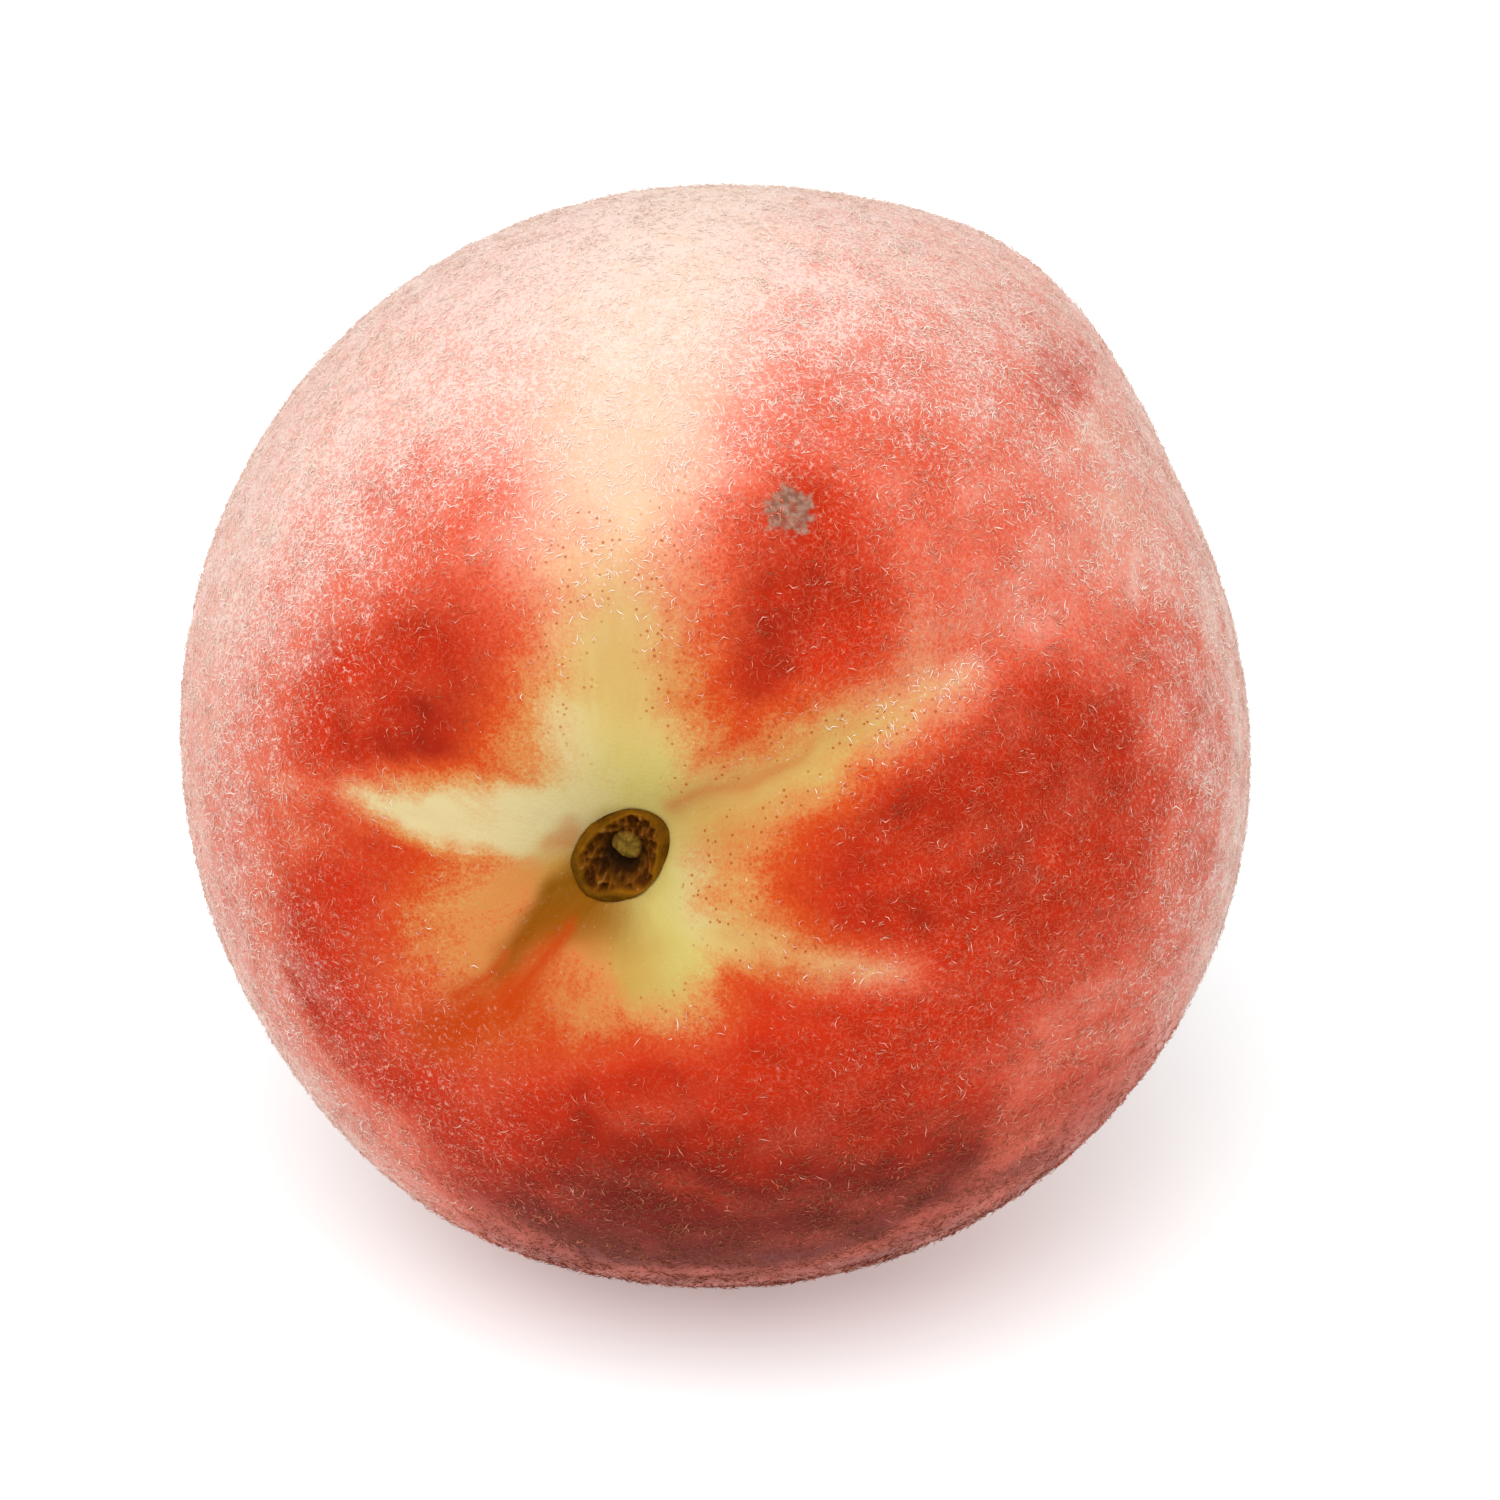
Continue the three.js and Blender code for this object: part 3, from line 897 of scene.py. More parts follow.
# %% Stains and painted shade, dots and scabs
OLIVE, AMBER = (0.175, 0.06, 0.0006), (0.36, 0.034, 0.0004)
DOT_BROWN = (0.3, 0.06, 0.01)
DOTS_PER_MM, DOTS_LEFT_OUT, DOT_STRENGTH = 1.9, 0.3, 0.85
SCAB_DARK, SCAB_PALE, SCAB_STRENGTH = (0.14, 0.08, 0.055), (0.27, 0.18, 0.13), 0.85
SCUFF_PALE = (0.7, 0.58, 0.5)


def stained_and_shaded(tree, colour, look):
    """Olive, partly painted shade, and then amber over the colour, a little uneven along the fibres."""
    patchy = step(tree, look["fibres"], 0.3, 0.7, 0.92, 1.04)
    for name, stain_and_shade in (("olive", OLIVE), ("amber", AMBER)):
        share = math(tree, "MULTIPLY", amount(tree, name), patchy, clamp=True)
        colour = blend(tree, share, colour, stain_and_shade)
    return colour


def dotted(tree, colour, look, place):
    """A dot in the middle of some random cells, where the blush is thin."""
    cells = tree.nodes.new("ShaderNodeTexVoronoi")
    give(tree, cells.inputs["Vector"], place)
    cells.inputs["Scale"].default_value = DOTS_PER_MM / MM
    chosen = math(tree, "GREATER_THAN", cells.outputs["Color"], DOTS_LEFT_OUT)
    dot = step(tree, cells.outputs["Distance"], 0.15, 0.23, 1.0, 0.0)
    begins = step(tree, look["red"], 0.03, 0.12)
    zone = math(tree, "MULTIPLY", begins, step(tree, look["red"], 0.5, 0.75, 1.0, 0.0))
    share = math(tree, "MULTIPLY", math(tree, "MULTIPLY", chosen, dot), zone)
    strength = math(tree, "MULTIPLY", amount(tree, "speckled"), DOT_STRENGTH)
    return blend(tree, math(tree, "MULTIPLY", share, strength), colour, DOT_BROWN)


def scabbed(tree, colour, crumbs):
    """Dry crumbs with a ragged edge, and pale scuffs."""
    ragged = math(tree, "ADD", amount(tree, "scab"), step(tree, crumbs, 0.3, 0.7, -0.35, 0.35))
    share = math(tree, "MULTIPLY", step(tree, ragged, 0.3, 0.7), SCAB_STRENGTH)
    dry = blend(tree, step(tree, crumbs, 0.4, 0.62), SCAB_DARK, SCAB_PALE)
    return blend(tree, amount(tree, "scuff"), blend(tree, share, colour, dry), SCUFF_PALE)


# %% [markdown]
# ## The bloom of the down
#
# Most of a peach's hairs are too fine to be worth a mesh each. Together they whiten the
# skin, more so in tufts, and they tint the red with thin rosy curls. So the skin's material
# paints that finest part: a pale coat that follows the tufts, and pale and rosy lines that
# curl like hairs. The pale coat is also painted sheen, thickest on the parts of the skin at
# the fruit's edge as the camera sees it, and over the top it is a painted highlight as well.
# A soft sheen on the shader whitens the skin where it turns away, as any velvety surface
# does.

# %% Whitish down, and painted sheen
WHITISH, ROSY = (0.65, 0.53, 0.47), (0.5, 0.11, 0.06)
COAT_STRENGTH, CURL_STRENGTH, ROSY_STRENGTH = 0.65, 0.7, 0.6


def downed(tree, colour, look):
    """Rosy curls over the red, a pale coat of down and painted sheen and highlight, and pale curls on
    it.
    """
    downy_and_painted_sheen = amount(tree, "downy_and_painted_sheen")
    tufts = step(tree, look["mottle"], 0.35, 0.65, -0.12, 0.1)
    tufts = math(tree, "MULTIPLY", tufts, step(tree, downy_and_painted_sheen, 0.05, 0.3))
    downy_and_painted_sheen = math(tree, "ADD", downy_and_painted_sheen, tufts)
    off_dark = step(tree, amount(tree, "dark"), 0.0, 0.5, 1.0, 0.2)
    rosy = step(tree, look["strands"], 0.6, 1.0, 0.0, ROSY_STRENGTH)
    rosy = math(tree, "MULTIPLY", math(tree, "MULTIPLY", rosy, amount(tree, "grown")), off_dark)
    rosy = math(tree, "MULTIPLY", rosy, step(tree, look["red"], 0.3, 0.7))
    colour = blend(tree, rosy, colour, ROSY)
    # the pale coat: the down's own whiteness, plus painted sheen at the edges and painted highlight on
    # top
    colour = blend(tree, step(tree, downy_and_painted_sheen, 0.2, 0.9, 0.0, COAT_STRENGTH), colour, WHITISH)
    pale = math(tree, "ADD", look["strands"], downy_and_painted_sheen)
    pale = math(tree, "MULTIPLY", step(tree, pale, 1.0, 1.35, 0.0, CURL_STRENGTH), off_dark)
    return blend(tree, pale, colour, WHITISH)


# %% [markdown]
# ## The skin itself
#
# The coats go on in the order in which they lie on a real peach: the ground, the blush, the
# stains, the dots, the down, and the dry scabs last. The relief in the material is only the
# fine grain, a tenth of a millimetre deep at most, and the scab's crumbs, at most four times
# as deep. All larger forms are in the mesh.


# %% The skin's material and its sheet
def skin_material():
    """The coats from the ground up, then the finish: matt, with a velvety sheen."""
    material, tree, shader = new_material("peach skin")
    place = own_place(tree)
    grain, roughness = grain_of(tree, place, 4.5, 2.0, 0.66, 0.86)
    crumbs = noise(tree, place, 2.0, 4.0)
    look = skin_textures(tree, place, grain)
    colour = blushed(tree, ground_colour(tree, look), look)
    colour = dotted(tree, stained_and_shaded(tree, colour, look), look, place)
    colour = scabbed(tree, downed(tree, colour, look), crumbs)
    give(tree, shader.inputs["Base Color"], colour)
    give(tree, shader.inputs["Roughness"], roughness)
    shader.inputs["Specular IOR Level"].default_value = 0.05
    shader.inputs["Sheen Weight"].default_value = 0.45
    shader.inputs["Sheen Roughness"].default_value = 0.28
    shader.inputs["Sheen Tint"].default_value = (1.0, 0.9, 0.86, 1)
    scab_height = math(tree, "MULTIPLY", crumbs, math(tree, "MULTIPLY", amount(tree, "scab"), 4.0))
    bump = tree.nodes.new("ShaderNodeBump")
    bump.inputs["Strength"].default_value = 0.35
    bump.inputs["Distance"].default_value = 0.1 * MM
    give(tree, bump.inputs["Height"], math(tree, "ADD", grain, scab_height))
    give(tree, shader.inputs["Normal"], bump.outputs["Normal"])
    print("skin material:", len(tree.nodes), "nodes")
    return material


def mark(thing, marks):
    """Puts each marking's amounts on the mesh, one number for each point."""
    for name, values in marks.items():
        layer = thing.data.attributes.new(name, "FLOAT", "POINT")
        layer.data.foreach_set("value", np.asarray(values, np.float32))


SPOKES_ROUND, SPOKES_STRETCH = 20, 0.45  # how fine the fibres are across, and how long


def mark_spokes(thing, from_stem, around):
    """Places for the fibres: a circle by the angle around, and a slow rise from the stem."""
    rise = SPOKES_STRETCH * GLOBE_RADIUS * from_stem
    spokes = np.stack([SPOKES_ROUND * np.cos(around), SPOKES_ROUND * np.sin(around), rise], 1) * MM
    layer = thing.data.attributes.new("spokes", "FLOAT_VECTOR", "POINT")
    layer.data.foreach_set("vector", spokes.astype(np.float32).ravel())


skin = mesh_object("peach_skin", skin_world, closed_over_rings(skin_rings, SECTORS), skin_material())
mark(skin, skin_marks)
mark_spokes(skin, from_stem, around)
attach(skin, "root")
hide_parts("peach_fruit")

# %% [markdown]
# ## The stem base
#
# When a peach is picked, its stalk pulls out and leaves the dried base behind: a corky oval
# with a thin smooth edge, brown crumbs inside it, and a dark hollow with a knob of dry wood
# in it. A bump in the material could hint at crumbs, but it would look flat from the side.
# So its top is a height formula over the oval, and every crumb is real relief.

# %% The stem base's shape
STUB_RINGS, STUB_SECTORS = 72, 180
HOLLOW_PLACE, HOLLOW_SPREAD, HOLLOW_DEPTH = (-0.1, -0.05), 1.5, 1.0
NUB_PLACE, NUB_RADIUS, NUB_HEIGHT = (0.55, 0.15), 1.0, 0.75
PITH_EDGE = 0.8  # where the smooth band ends, as a share of the way to the rim
BAND_MIDDLE, BAND_SPREAD, BAND_HEIGHT = 0.88, 0.13, 0.22
ROUNDED_FROM, ROUNDED_BY = 0.93, 5  # the band's outer edge curves down
BOWL_DEPTH, BOWL_MIDDLE_DEPTH = 0.12, 0.25
CRUMBS = [(0.9, 32, 1), (0.5, 33, 0.6), (0.28, 34, 0.35)]  # size in mm, seed, strength
SMOOTH_CRUMB, ROUGH_CRUMB = 0.02, 0.11  # their height on the band, and inside it
LIP_HEIGHT = 0.06
LIP_OUT, LIP_SPREAD, LIP_SHARE = 0.03, 0.05, 0.35  # how far past the crumbs it is, and how much stands
BAND_WAVES, LIP_WAVES = [(2.6, 31, 0.05)], [(3.5, 35, 0.6)]
HOLLOW_WAVES, NUB_WAVES = [(1.5, 36, 0.06)], [(1.5, 37, 0.05)]
PITH_FADE, BOWL_MIDDLE_EDGE, BOWL_MIDDLE_FADE = 0.14, 0.6, 0.4  # shares of the way to the rim
SMOOTHED_IN_HOLLOW = 0.8  # how much of the crumbs' height is lost in the hollow


def stub_top(along, across, share):
    """The stem base's height over the skin's edge, and the amounts of its parts.

    A rounded outer band, less a shallow bowl and a hollow, plus a knob like half a ball
    beside the hollow's middle, random crumbs inside the band and a thin lip between.
    """
    spots = np.stack([along, across, 0 * along], -1)
    share = share + layered(spots, BAND_WAVES)
    band = BAND_HEIGHT * hump(share - BAND_MIDDLE, BAND_SPREAD)
    band = band - ROUNDED_BY * np.maximum(0, share - ROUNDED_FROM) ** 1.5
    inside = fade(PITH_EDGE - share, PITH_FADE)
    deeper = fade(BOWL_MIDDLE_EDGE - share, BOWL_MIDDLE_FADE)
    bowl = -BOWL_DEPTH * inside - BOWL_MIDDLE_DEPTH * deeper
    hollow_way = np.hypot(along - HOLLOW_PLACE[0], across - HOLLOW_PLACE[1])
    hollow_way = hollow_way * (1 + layered(spots, HOLLOW_WAVES))
    hollow = np.exp(-((hollow_way / HOLLOW_SPREAD) ** 4))
    nub_way = np.hypot(along - NUB_PLACE[0], across - NUB_PLACE[1])
    nub_way = nub_way * (1 + layered(spots, NUB_WAVES))
    nub = np.sqrt(np.clip(1 - (nub_way / NUB_RADIUS) ** 2, 0, 1))
    rough = layered(spots, CRUMBS)
    crumbs = (SMOOTH_CRUMB + ROUGH_CRUMB * inside * (1 - SMOOTHED_IN_HOLLOW * hollow)) * rough
    lip = hump(share - PITH_EDGE - LIP_OUT, LIP_SPREAD)
    lip = lip * np.clip(LIP_SHARE + layered(spots, LIP_WAVES), 0, 1)
    parts = {
        "ridge": np.clip(lip, 0, 1),
        # near black in the hollow: partly dark dried tissue, partly painted shade in the recess
        "hollow_dark_and_shade": np.clip(1.15 * hollow * (1 - 3 * nub), 0, 1),
        "crumbly": inside,
        "knob": np.clip(1.3 * nub, 0, 1),
        "crumb_height": np.clip(0.5 + 0.25 * rough, 0, 1),
    }
    height = band + bowl + LIP_HEIGHT * lip - HOLLOW_DEPTH * hollow + NUB_HEIGHT * nub + crumbs
    return height, parts


# %% The stem base's points
STUB_STANDS = 0.05  # how far its rim stands over the skin
WALL_RINGS = [(0.97, 0.5), (0.9, 1.0), (0.4, 1.0)]  # share of the outline, share of the way down


def stub_points():
    """The stem base's points: over its top, down its wall and under it.

    Its rim follows the height of the skin round it, more and more towards the edge.
    """
    turned = np.arange(STUB_SECTORS) / STUB_SECTORS * 2 * np.pi
    tilt = np.radians(STUB_AROUND)
    rim_along, rim_across = STUB_HALF_LENGTH * np.cos(turned), STUB_HALF_WIDTH * np.sin(turned)
    rim_around = np.arctan2(STUB_ASIDE + rim_across, STUB_ALONG + rim_along) + tilt
    edge = angle_over(np.hypot(STUB_ALONG + rim_along, STUB_ASIDE + rim_across), rim_around)
    skin_level = fruit_radius(edge, rim_around) * np.cos(edge)
    shares = np.linspace(0, 1, STUB_RINGS + 1)[1:, None]
    along = np.concatenate([[0], (shares * rim_along).ravel()])
    across = np.concatenate([[0], (shares * rim_across).ravel()])
    share = np.concatenate([[0], (shares + 0 * rim_along).ravel()])
    tipped = np.concatenate([[0], (shares**2 * (skin_level - skin_level.mean())).ravel()])
    height, parts = stub_top(along, across, share)
    top = skin_level.mean() + tipped + STUB_STANDS + height
    rows = [np.stack([along, across, top], 1)]
    last = rows[0][-STUB_SECTORS:]
    for shrink, drop in WALL_RINGS:
        row = last * [shrink, shrink, 1]
        row[:, 2] = last[:, 2] + drop * (STUB_FLOOR - last[:, 2])
        rows.append(row)
    rows.append(np.array([[0, 0, STUB_FLOOR]]))
    flat = np.concatenate(rows) + [STUB_ALONG, STUB_ASIDE, 0]
    cos, sin = np.cos(tilt), np.sin(tilt)
    turned_x, turned_y = cos * flat[:, 0] - sin * flat[:, 1], sin * flat[:, 0] + cos * flat[:, 1]
    own = np.stack([turned_x, turned_y, flat[:, 2]], 1)
    extra = np.zeros(len(own) - len(along))
    parts = {name: np.concatenate([values, extra]) for name, values in parts.items()}
    print("stem base top from", round(float(top.min()), 2), "to", round(float(top.max()), 2))
    return own, parts


# %% [markdown]
# ## The dry stem's colours
#
# The base is all one dry tissue, but its parts have browned by different amounts. Some of
# its colour is painted light as well: shade in the hollow and between the crumbs, and a
# highlight on the crumbs' tops. The mesh says which part each point belongs to, and the
# material lays one pair of browns on each part: the band, the crumbs, the lip, the hollow
# and the knob.

# %% The dry stem's material
BAND_BROWNS = (0.06, 0.021, 0.0004), (0.135, 0.052, 0.001)
# crumbs go from dark where low to light where high, lightest on top: painted shade and painted highlight
CRUMB_BROWNS = (0.05, 0.013, 0.0006), (0.13, 0.04, 0.002)
CRUMB_TOP_HIGHLIGHT = (0.24, 0.12, 0.03)
LIP_BROWN = (0.26, 0.09, 0.002)
# the hollow's near black: dark dried tissue, and painted shade in the recess
HOLLOW_DARK_AND_SHADE = (0.012, 0.004, 0.0005)
KNOB_BROWNS = (0.11, 0.06, 0.006), (0.17, 0.1, 0.014)


def stub_material():
    """Browns by the parts that the mesh names, each going from a dark to a light one."""
    material, tree, shader = new_material("dried stem")
    place = own_place(tree)
    grain, roughness = grain_of(tree, place, 4.0, 3.0, 0.65, 0.9)
    patches = noise(tree, place, 0.9, 2.0)
    shade = step(tree, grain, *SPECKS, 0.0, 0.4)
    shade = math(tree, "ADD", shade, step(tree, patches, 0.35, 0.65, 0.0, 0.6))
    colour = blend(tree, shade, *BAND_BROWNS)
    lumps = amount(tree, "crumb_height")
    # painted shade low between the crumbs and painted highlight on their tops
    crumbs = blend(tree, step(tree, lumps, 0.3, 0.75), *CRUMB_BROWNS)
    crumbs = blend(tree, step(tree, lumps, 0.9, 1.1), crumbs, CRUMB_TOP_HIGHLIGHT)
    colour = blend(tree, amount(tree, "crumbly"), colour, crumbs)
    colour = blend(tree, math(tree, "MULTIPLY", amount(tree, "ridge"), 0.5), colour, LIP_BROWN)
    colour = blend(tree, amount(tree, "hollow_dark_and_shade"), colour, HOLLOW_DARK_AND_SHADE)
    knob = blend(tree, step(tree, grain, 0.35, 0.65), *KNOB_BROWNS)
    colour = blend(tree, amount(tree, "knob"), colour, knob)
    give(tree, shader.inputs["Base Color"], colour)
    give(tree, shader.inputs["Roughness"], roughness)
    shader.inputs["Specular IOR Level"].default_value = 0.03
    bump = tree.nodes.new("ShaderNodeBump")
    bump.inputs["Strength"].default_value = 0.5
    bump.inputs["Distance"].default_value = 0.08 * MM
    give(tree, bump.inputs["Height"], grain)
    give(tree, shader.inputs["Normal"], bump.outputs["Normal"])
    return material


stub_own, stub_parts = stub_points()
stub_faces = closed_over_rings(STUB_RINGS + len(WALL_RINGS), STUB_SECTORS)
stub = mesh_object("stem_base", placed(stub_own), stub_faces, stub_material())
mark(stub, stub_parts)
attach(stub, "root")
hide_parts("stem_stub")

# %% [markdown]
# ## The down
#
# A peach's skin is covered in short pale hairs, crowded together, that lean and curl every
# way in small tufts. Blender's own hair would be easier, but it isn't mesh, so it is lost
# when the fruit is exported. Each hair here is a thin closed spike that is bent half way:
# the short ones are flat, with two corners at the bend, and the long ones have three.
#
# Hairs let light through, so they take on the tone of the skin under them. There are five
# tones, from pale over the pale skin and its painted sheen, through blush, rose and coral, to
# russet over the darkest red and the painted shade under the fruit. A few light hairs are
# left everywhere but on the dark skin.


# %% Points and normals on the skin
def skin_frame(from_stem, around):
    """Points on the skin and its outward normals, in the fruit's own frame.

    The normal is the cross product of two small steps along the surface.
    """
    small = 1e-4

    def at(a, b):
        """The skin's points at two angles."""
        return fruit_radius(a, b)[:, None] * direction(a, b)

    here = at(from_stem, around)
    down = at(from_stem + small, around) - here
    along = at(from_stem, around + small / np.sin(from_stem)) - here
    normal = np.cross(down, along)
    return here, normal / np.linalg.norm(normal, axis=1, keepdims=True)


# %% Hairs
BARE_UNTIL, DOWNY_FROM = 14, 52  # degrees from the stem
SPARE = 4  # places tried for each hair wanted
TUFT_MIDDLE, TUFT_STRENGTH, TUFT_LEAST = 0.62, 0.3, 0.05  # the share of hairs that is kept
WIDE_TUFTS, SMALL_TUFTS = (2.2, 5), (0.8, 6)  # size in mm, seed


def hair_roots(count, draw):
    """Random places on the fruit, thinned out near the stem and between tufts."""
    spare = SPARE * count
    from_stem = np.arccos(draw.uniform(-0.99999, 0.99999, spare))
    around = draw.uniform(0, 2 * np.pi, spare)
    grown = fade(np.degrees(from_stem) - (BARE_UNTIL + DOWNY_FROM) / 2, DOWNY_FROM - BARE_UNTIL)
    spots = GLOBE_RADIUS * direction(from_stem, around)
    tufts = TUFT_MIDDLE + TUFT_STRENGTH * waves(spots, *WIDE_TUFTS)
    tufts = np.clip(tufts + TUFT_STRENGTH * waves(spots, *SMALL_TUFTS), TUFT_LEAST, 1)
    kept = draw.uniform(0, 1, spare) < grown * tufts
    return from_stem[kept][:count], around[kept][:count]


# %% The shape of a hair
ROOT_DEPTH = 0.04  # how far the root is under the skin
FLATTEST_LEAN = 91  # degrees from upright that the outer half may reach
DRIFT_SIZE, DRIFT_SHARE = 3.0, 0.6  # how neighbours lean together
FLAT_UP_TO = 20  # hairs that curl further than this get a third corner at the bend
THIRD_CORNER = 0.7  # its depth under the other two, as a share of the width
THINNEST, WIDEST = 0.7, 1.2  # times the width of its kind


def hair_points(root, normal, draw, width, length, lean, bend, curl):
    """Each hair's root, the two or three corners of its bend, and its tip.

    The inner half leans from the normal by lean degrees, in a random way that neighbours
    partly share. The outer half leans bend degrees more and turns aside by up to curl.
    """
    total = len(root)
    drift = np.stack([waves(root, DRIFT_SIZE, seed) for seed in (11, 12, 13)], 1)
    way = draw.normal(size=(total, 3)) + DRIFT_SHARE * drift
    way -= (way * normal).sum(1, keepdims=True) * normal
    way /= np.linalg.norm(way, axis=1, keepdims=True)
    side = np.cross(normal, way)
    angle = np.radians(draw.uniform(*lean, total))[:, None]
    tall = draw.uniform(*length, total)[:, None]
    wide = width * draw.uniform(THINNEST, WIDEST, total)[:, None]
    inner = np.cos(angle) * normal + np.sin(angle) * way
    steeper = angle + np.radians(draw.uniform(*bend, total))[:, None]
    steeper = np.minimum(steeper, np.radians(FLATTEST_LEAN))
    aside = np.radians(draw.uniform(-curl, curl, total))[:, None]
    outer = np.cos(steeper) * normal + np.sin(steeper) * (np.cos(aside) * way + np.sin(aside) * side)
    middle = root + 0.5 * tall * inner
    across = np.cross(normal, inner + outer)
    across *= wide / 2 / np.linalg.norm(across, axis=1, keepdims=True)
    bend_corners = [middle + across, middle - across]
    if curl > FLAT_UP_TO:
        bend_corners.append(middle - THIRD_CORNER * wide * normal)
    tip_corner = middle + 0.5 * tall * outer
    return np.stack([root - ROOT_DEPTH * normal] + bend_corners + [tip_corner], 1)


HAIR_FACES = {  # for hairs of 4 and of 5 corners
    4: np.array([[0, 2, 1], [3, 1, 2], [0, 1, 3], [0, 3, 2]]),
    5: np.array([[0, 2, 1], [0, 3, 2], [0, 1, 3], [4, 1, 2], [4, 2, 3], [4, 3, 1]]),
}


# %% The tones of the hairs
TONES = {
    "pale": (0.72, 0.58, 0.5),
    "blush": (0.62, 0.29, 0.21),
    "rose": (0.52, 0.16, 0.1),
    "coral": (0.45, 0.06, 0.022),
    "russet": (0.23, 0.055, 0.02),
}
TONE_STEPS = [0.34, 0.55, 0.78]  # the redness at which the next tone begins
TONE_MIXING = 0.13  # how much neighbours differ
CORAL, RUSSET = 3, 4  # their places among the tones
LIGHT_SHARE = 0.08  # hairs that stay light over the red
# the down patches include painted sheen and highlight, so the hairs there are paler too
PALED = 0.9  # how much thick down counts against the redness
RUSSET_FROM = 0.3  # the darkness at which the first russet hairs come


def tones_of(marks, draw):
    """Which tone each hair has, from 0 pale to 4 russet, by the skin under it."""
    total = len(marks["red"])
    redness = marks["red"] - PALED * marks["downy_and_painted_sheen"] + draw.normal(0, TONE_MIXING, total)
    tone = np.digitize(redness, TONE_STEPS)
    light = draw.uniform(0, 1, total) < LIGHT_SHARE * (1 - marks["dark"])
    tone = np.where(light, np.minimum(tone, 1), tone)
    deep = (tone == CORAL) & (marks["dark"] > draw.uniform(RUSSET_FROM, 1, total))
    return np.where(deep, RUSSET, tone)


def down_material(tone_name, tone_colour):
    """A hair is too thin for a pattern to show, so it has one tone and a soft gloss."""
    material, _, shader = new_material(f"{tone_name} down")
    shader.inputs["Base Color"].default_value = (*tone_colour, 1)
    shader.inputs["Roughness"].default_value = 0.7
    shader.inputs["Specular IOR Level"].default_value = 0.2
    return material


down_materials = {name: down_material(name, colour) for name, colour in TONES.items()}
print("tones of down:", ", ".join(TONES))

# %% Growing the down
MOST_TRIANGLES = 195_000  # in one piece
ABOVE_FLOOR = 0.02
STAR_BARE, AMBER_BARE = 1.1, 0.75  # the share of hairs left out on the star and the amber
SHORT_DOWN = {"count": 122_000, "seed": 100, "width": 0.05, "length": (0.2, 0.45)}
SHORT_DOWN |= {"lean": (66, 84), "bend": (4, 8), "curl": 15}
LONG_DOWN = {"count": 58_000, "seed": 200, "width": 0.062, "length": (0.45, 1.05)}
LONG_DOWN |= {"lean": (68, 82), "bend": (4, 10), "curl": 80}


def grow(kind, count, seed, width, length, lean, bend, curl):
    """Grows one kind of hair and makes a piece or more of each tone.

    Hairs that would stand in the floor are left out, and so are most on the bare star and
    on the bruised furrow.
    """
    draw = np.random.default_rng(seed)
    from_stem, around = hair_roots(count, draw)
    root, normal = skin_frame(from_stem, around)
    points = placed(hair_points(root, normal, draw, width, length, lean, bend, curl))
    marks = markings(from_stem, around, root)
    tone = tones_of(marks, draw)
    bare = most([1 - marks["red"], marks["amber"], marks["olive"]])
    bareness = np.maximum(STAR_BARE * marks["yellow"] * bare, AMBER_BARE * marks["amber"])
    thin = draw.uniform(0, 1, count) < bareness
    clear = (points[:, :, 2].min(1) > ABOVE_FLOOR) & ~thin
    faces = HAIR_FACES[points.shape[1]]
    most_hairs = MOST_TRIANGLES // len(faces)
    for number, (tone_name, material) in enumerate(down_materials.items()):
        chosen = points[clear & (tone == number)]
        for part, own in enumerate(np.array_split(chosen, -(-len(chosen) // most_hairs))):
            starts = (np.arange(len(own)) * own.shape[1])[:, None, None]
            triangles = (starts + faces[None]).reshape(-1, 3)
            name = f"{tone_name}_{kind}_down_{part + 1}"
            piece = mesh_object(name, own.reshape(-1, 3), triangles, material, smooth=False)
            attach(piece, "root")


grow("short", **SHORT_DOWN)
grow("long", **LONG_DOWN)

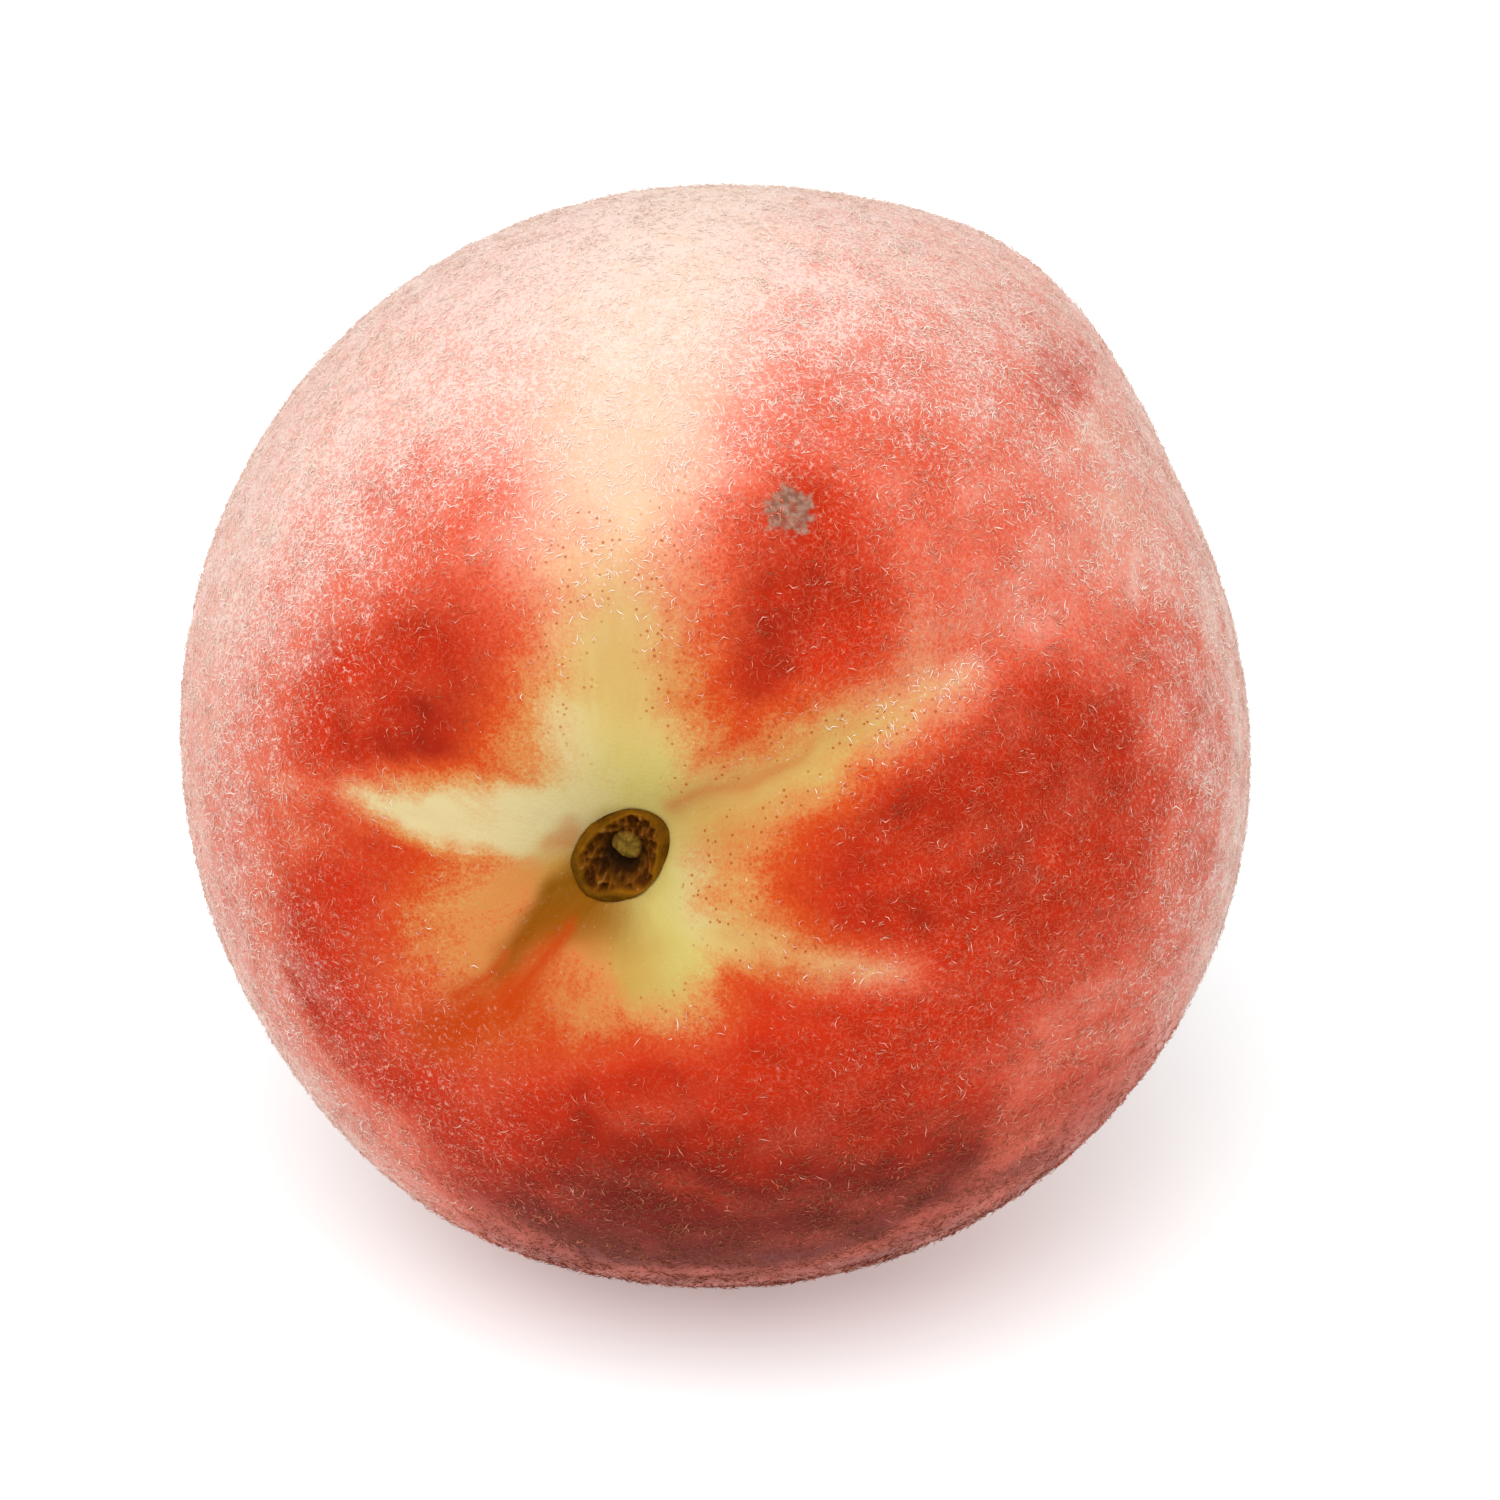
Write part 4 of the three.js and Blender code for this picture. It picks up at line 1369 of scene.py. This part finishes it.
# %% [markdown]
# ## The floor and the light
#
# The fruit lies on a plain pale floor under one soft round lamp, high up in front and to
# the left, with an even white world round it that keeps the shadows open. A small hard lamp
# would show the down better, but it would also draw a hard shadow. The floor glows a little,
# so it stays near white up to its edges, and it leans to blue-green against the red light
# that the fruit throws on it.

# %% Floor and light
FLOOR_SIZE = 3000
FLOOR_COLOUR, FLOOR_GLOW = (0.68, 0.715, 0.72), 0.28
WORLD_STRENGTH = 0.95
LAMP_PLACE, LAMP_WIDTH, LAMP_POWER = (-0.1, -0.44, 0.63), 0.6, 4.8  # metres and watts


def add_floor():
    """A large square under the fruit, as part of the stage."""
    half = FLOOR_SIZE / 2
    corners = np.array([[-half, -half, 0], [half, -half, 0], [half, half, 0], [-half, half, 0]])
    material, _, shader = new_material("white_floor")
    shader.inputs["Base Color"].default_value = (*FLOOR_COLOUR, 1)
    shader.inputs["Roughness"].default_value = 0.9
    shader.inputs["Emission Color"].default_value = (1, 1, 1, 1)
    shader.inputs["Emission Strength"].default_value = FLOOR_GLOW
    shader.inputs["Specular IOR Level"].default_value = 0.2
    floor = mesh_object("floor", corners, np.array([[0, 1, 2], [0, 2, 3]]), material, smooth=False)


def add_world():
    """An even white world."""
    world = bpy.data.worlds.new("tent")
    world.use_nodes = True
    background = world.node_tree.nodes["Background"]
    background.inputs["Color"].default_value = (1, 1, 1, 1)
    background.inputs["Strength"].default_value = WORLD_STRENGTH
    bpy.context.scene.world = world


def add_lamp():
    """A round soft lamp turned to the origin: its own -Z runs from its place to there."""
    lamp = bpy.data.lights.new("window", "AREA")
    lamp.shape = "DISK"
    lamp.size = LAMP_WIDTH
    lamp.energy = LAMP_POWER
    holder = bpy.data.objects.new("window", lamp)
    place = np.array(LAMP_PLACE)
    aim = -place / np.linalg.norm(place)
    side = np.cross(aim, [0, 0, 1])
    side /= np.linalg.norm(side)
    top = np.cross(side, aim)
    rows = [[side[i], top[i], -aim[i], place[i]] for i in range(3)]
    holder.matrix_world = Matrix(rows + [[0, 0, 0, 1]])
    bpy.context.collection.objects.link(holder)
    print("lamp:", LAMP_WIDTH, "m wide,", round(float(np.linalg.norm(place)), 2), "m away")


add_floor()
add_world()
add_lamp()
bpy.context.scene.view_settings.view_transform = "Standard"
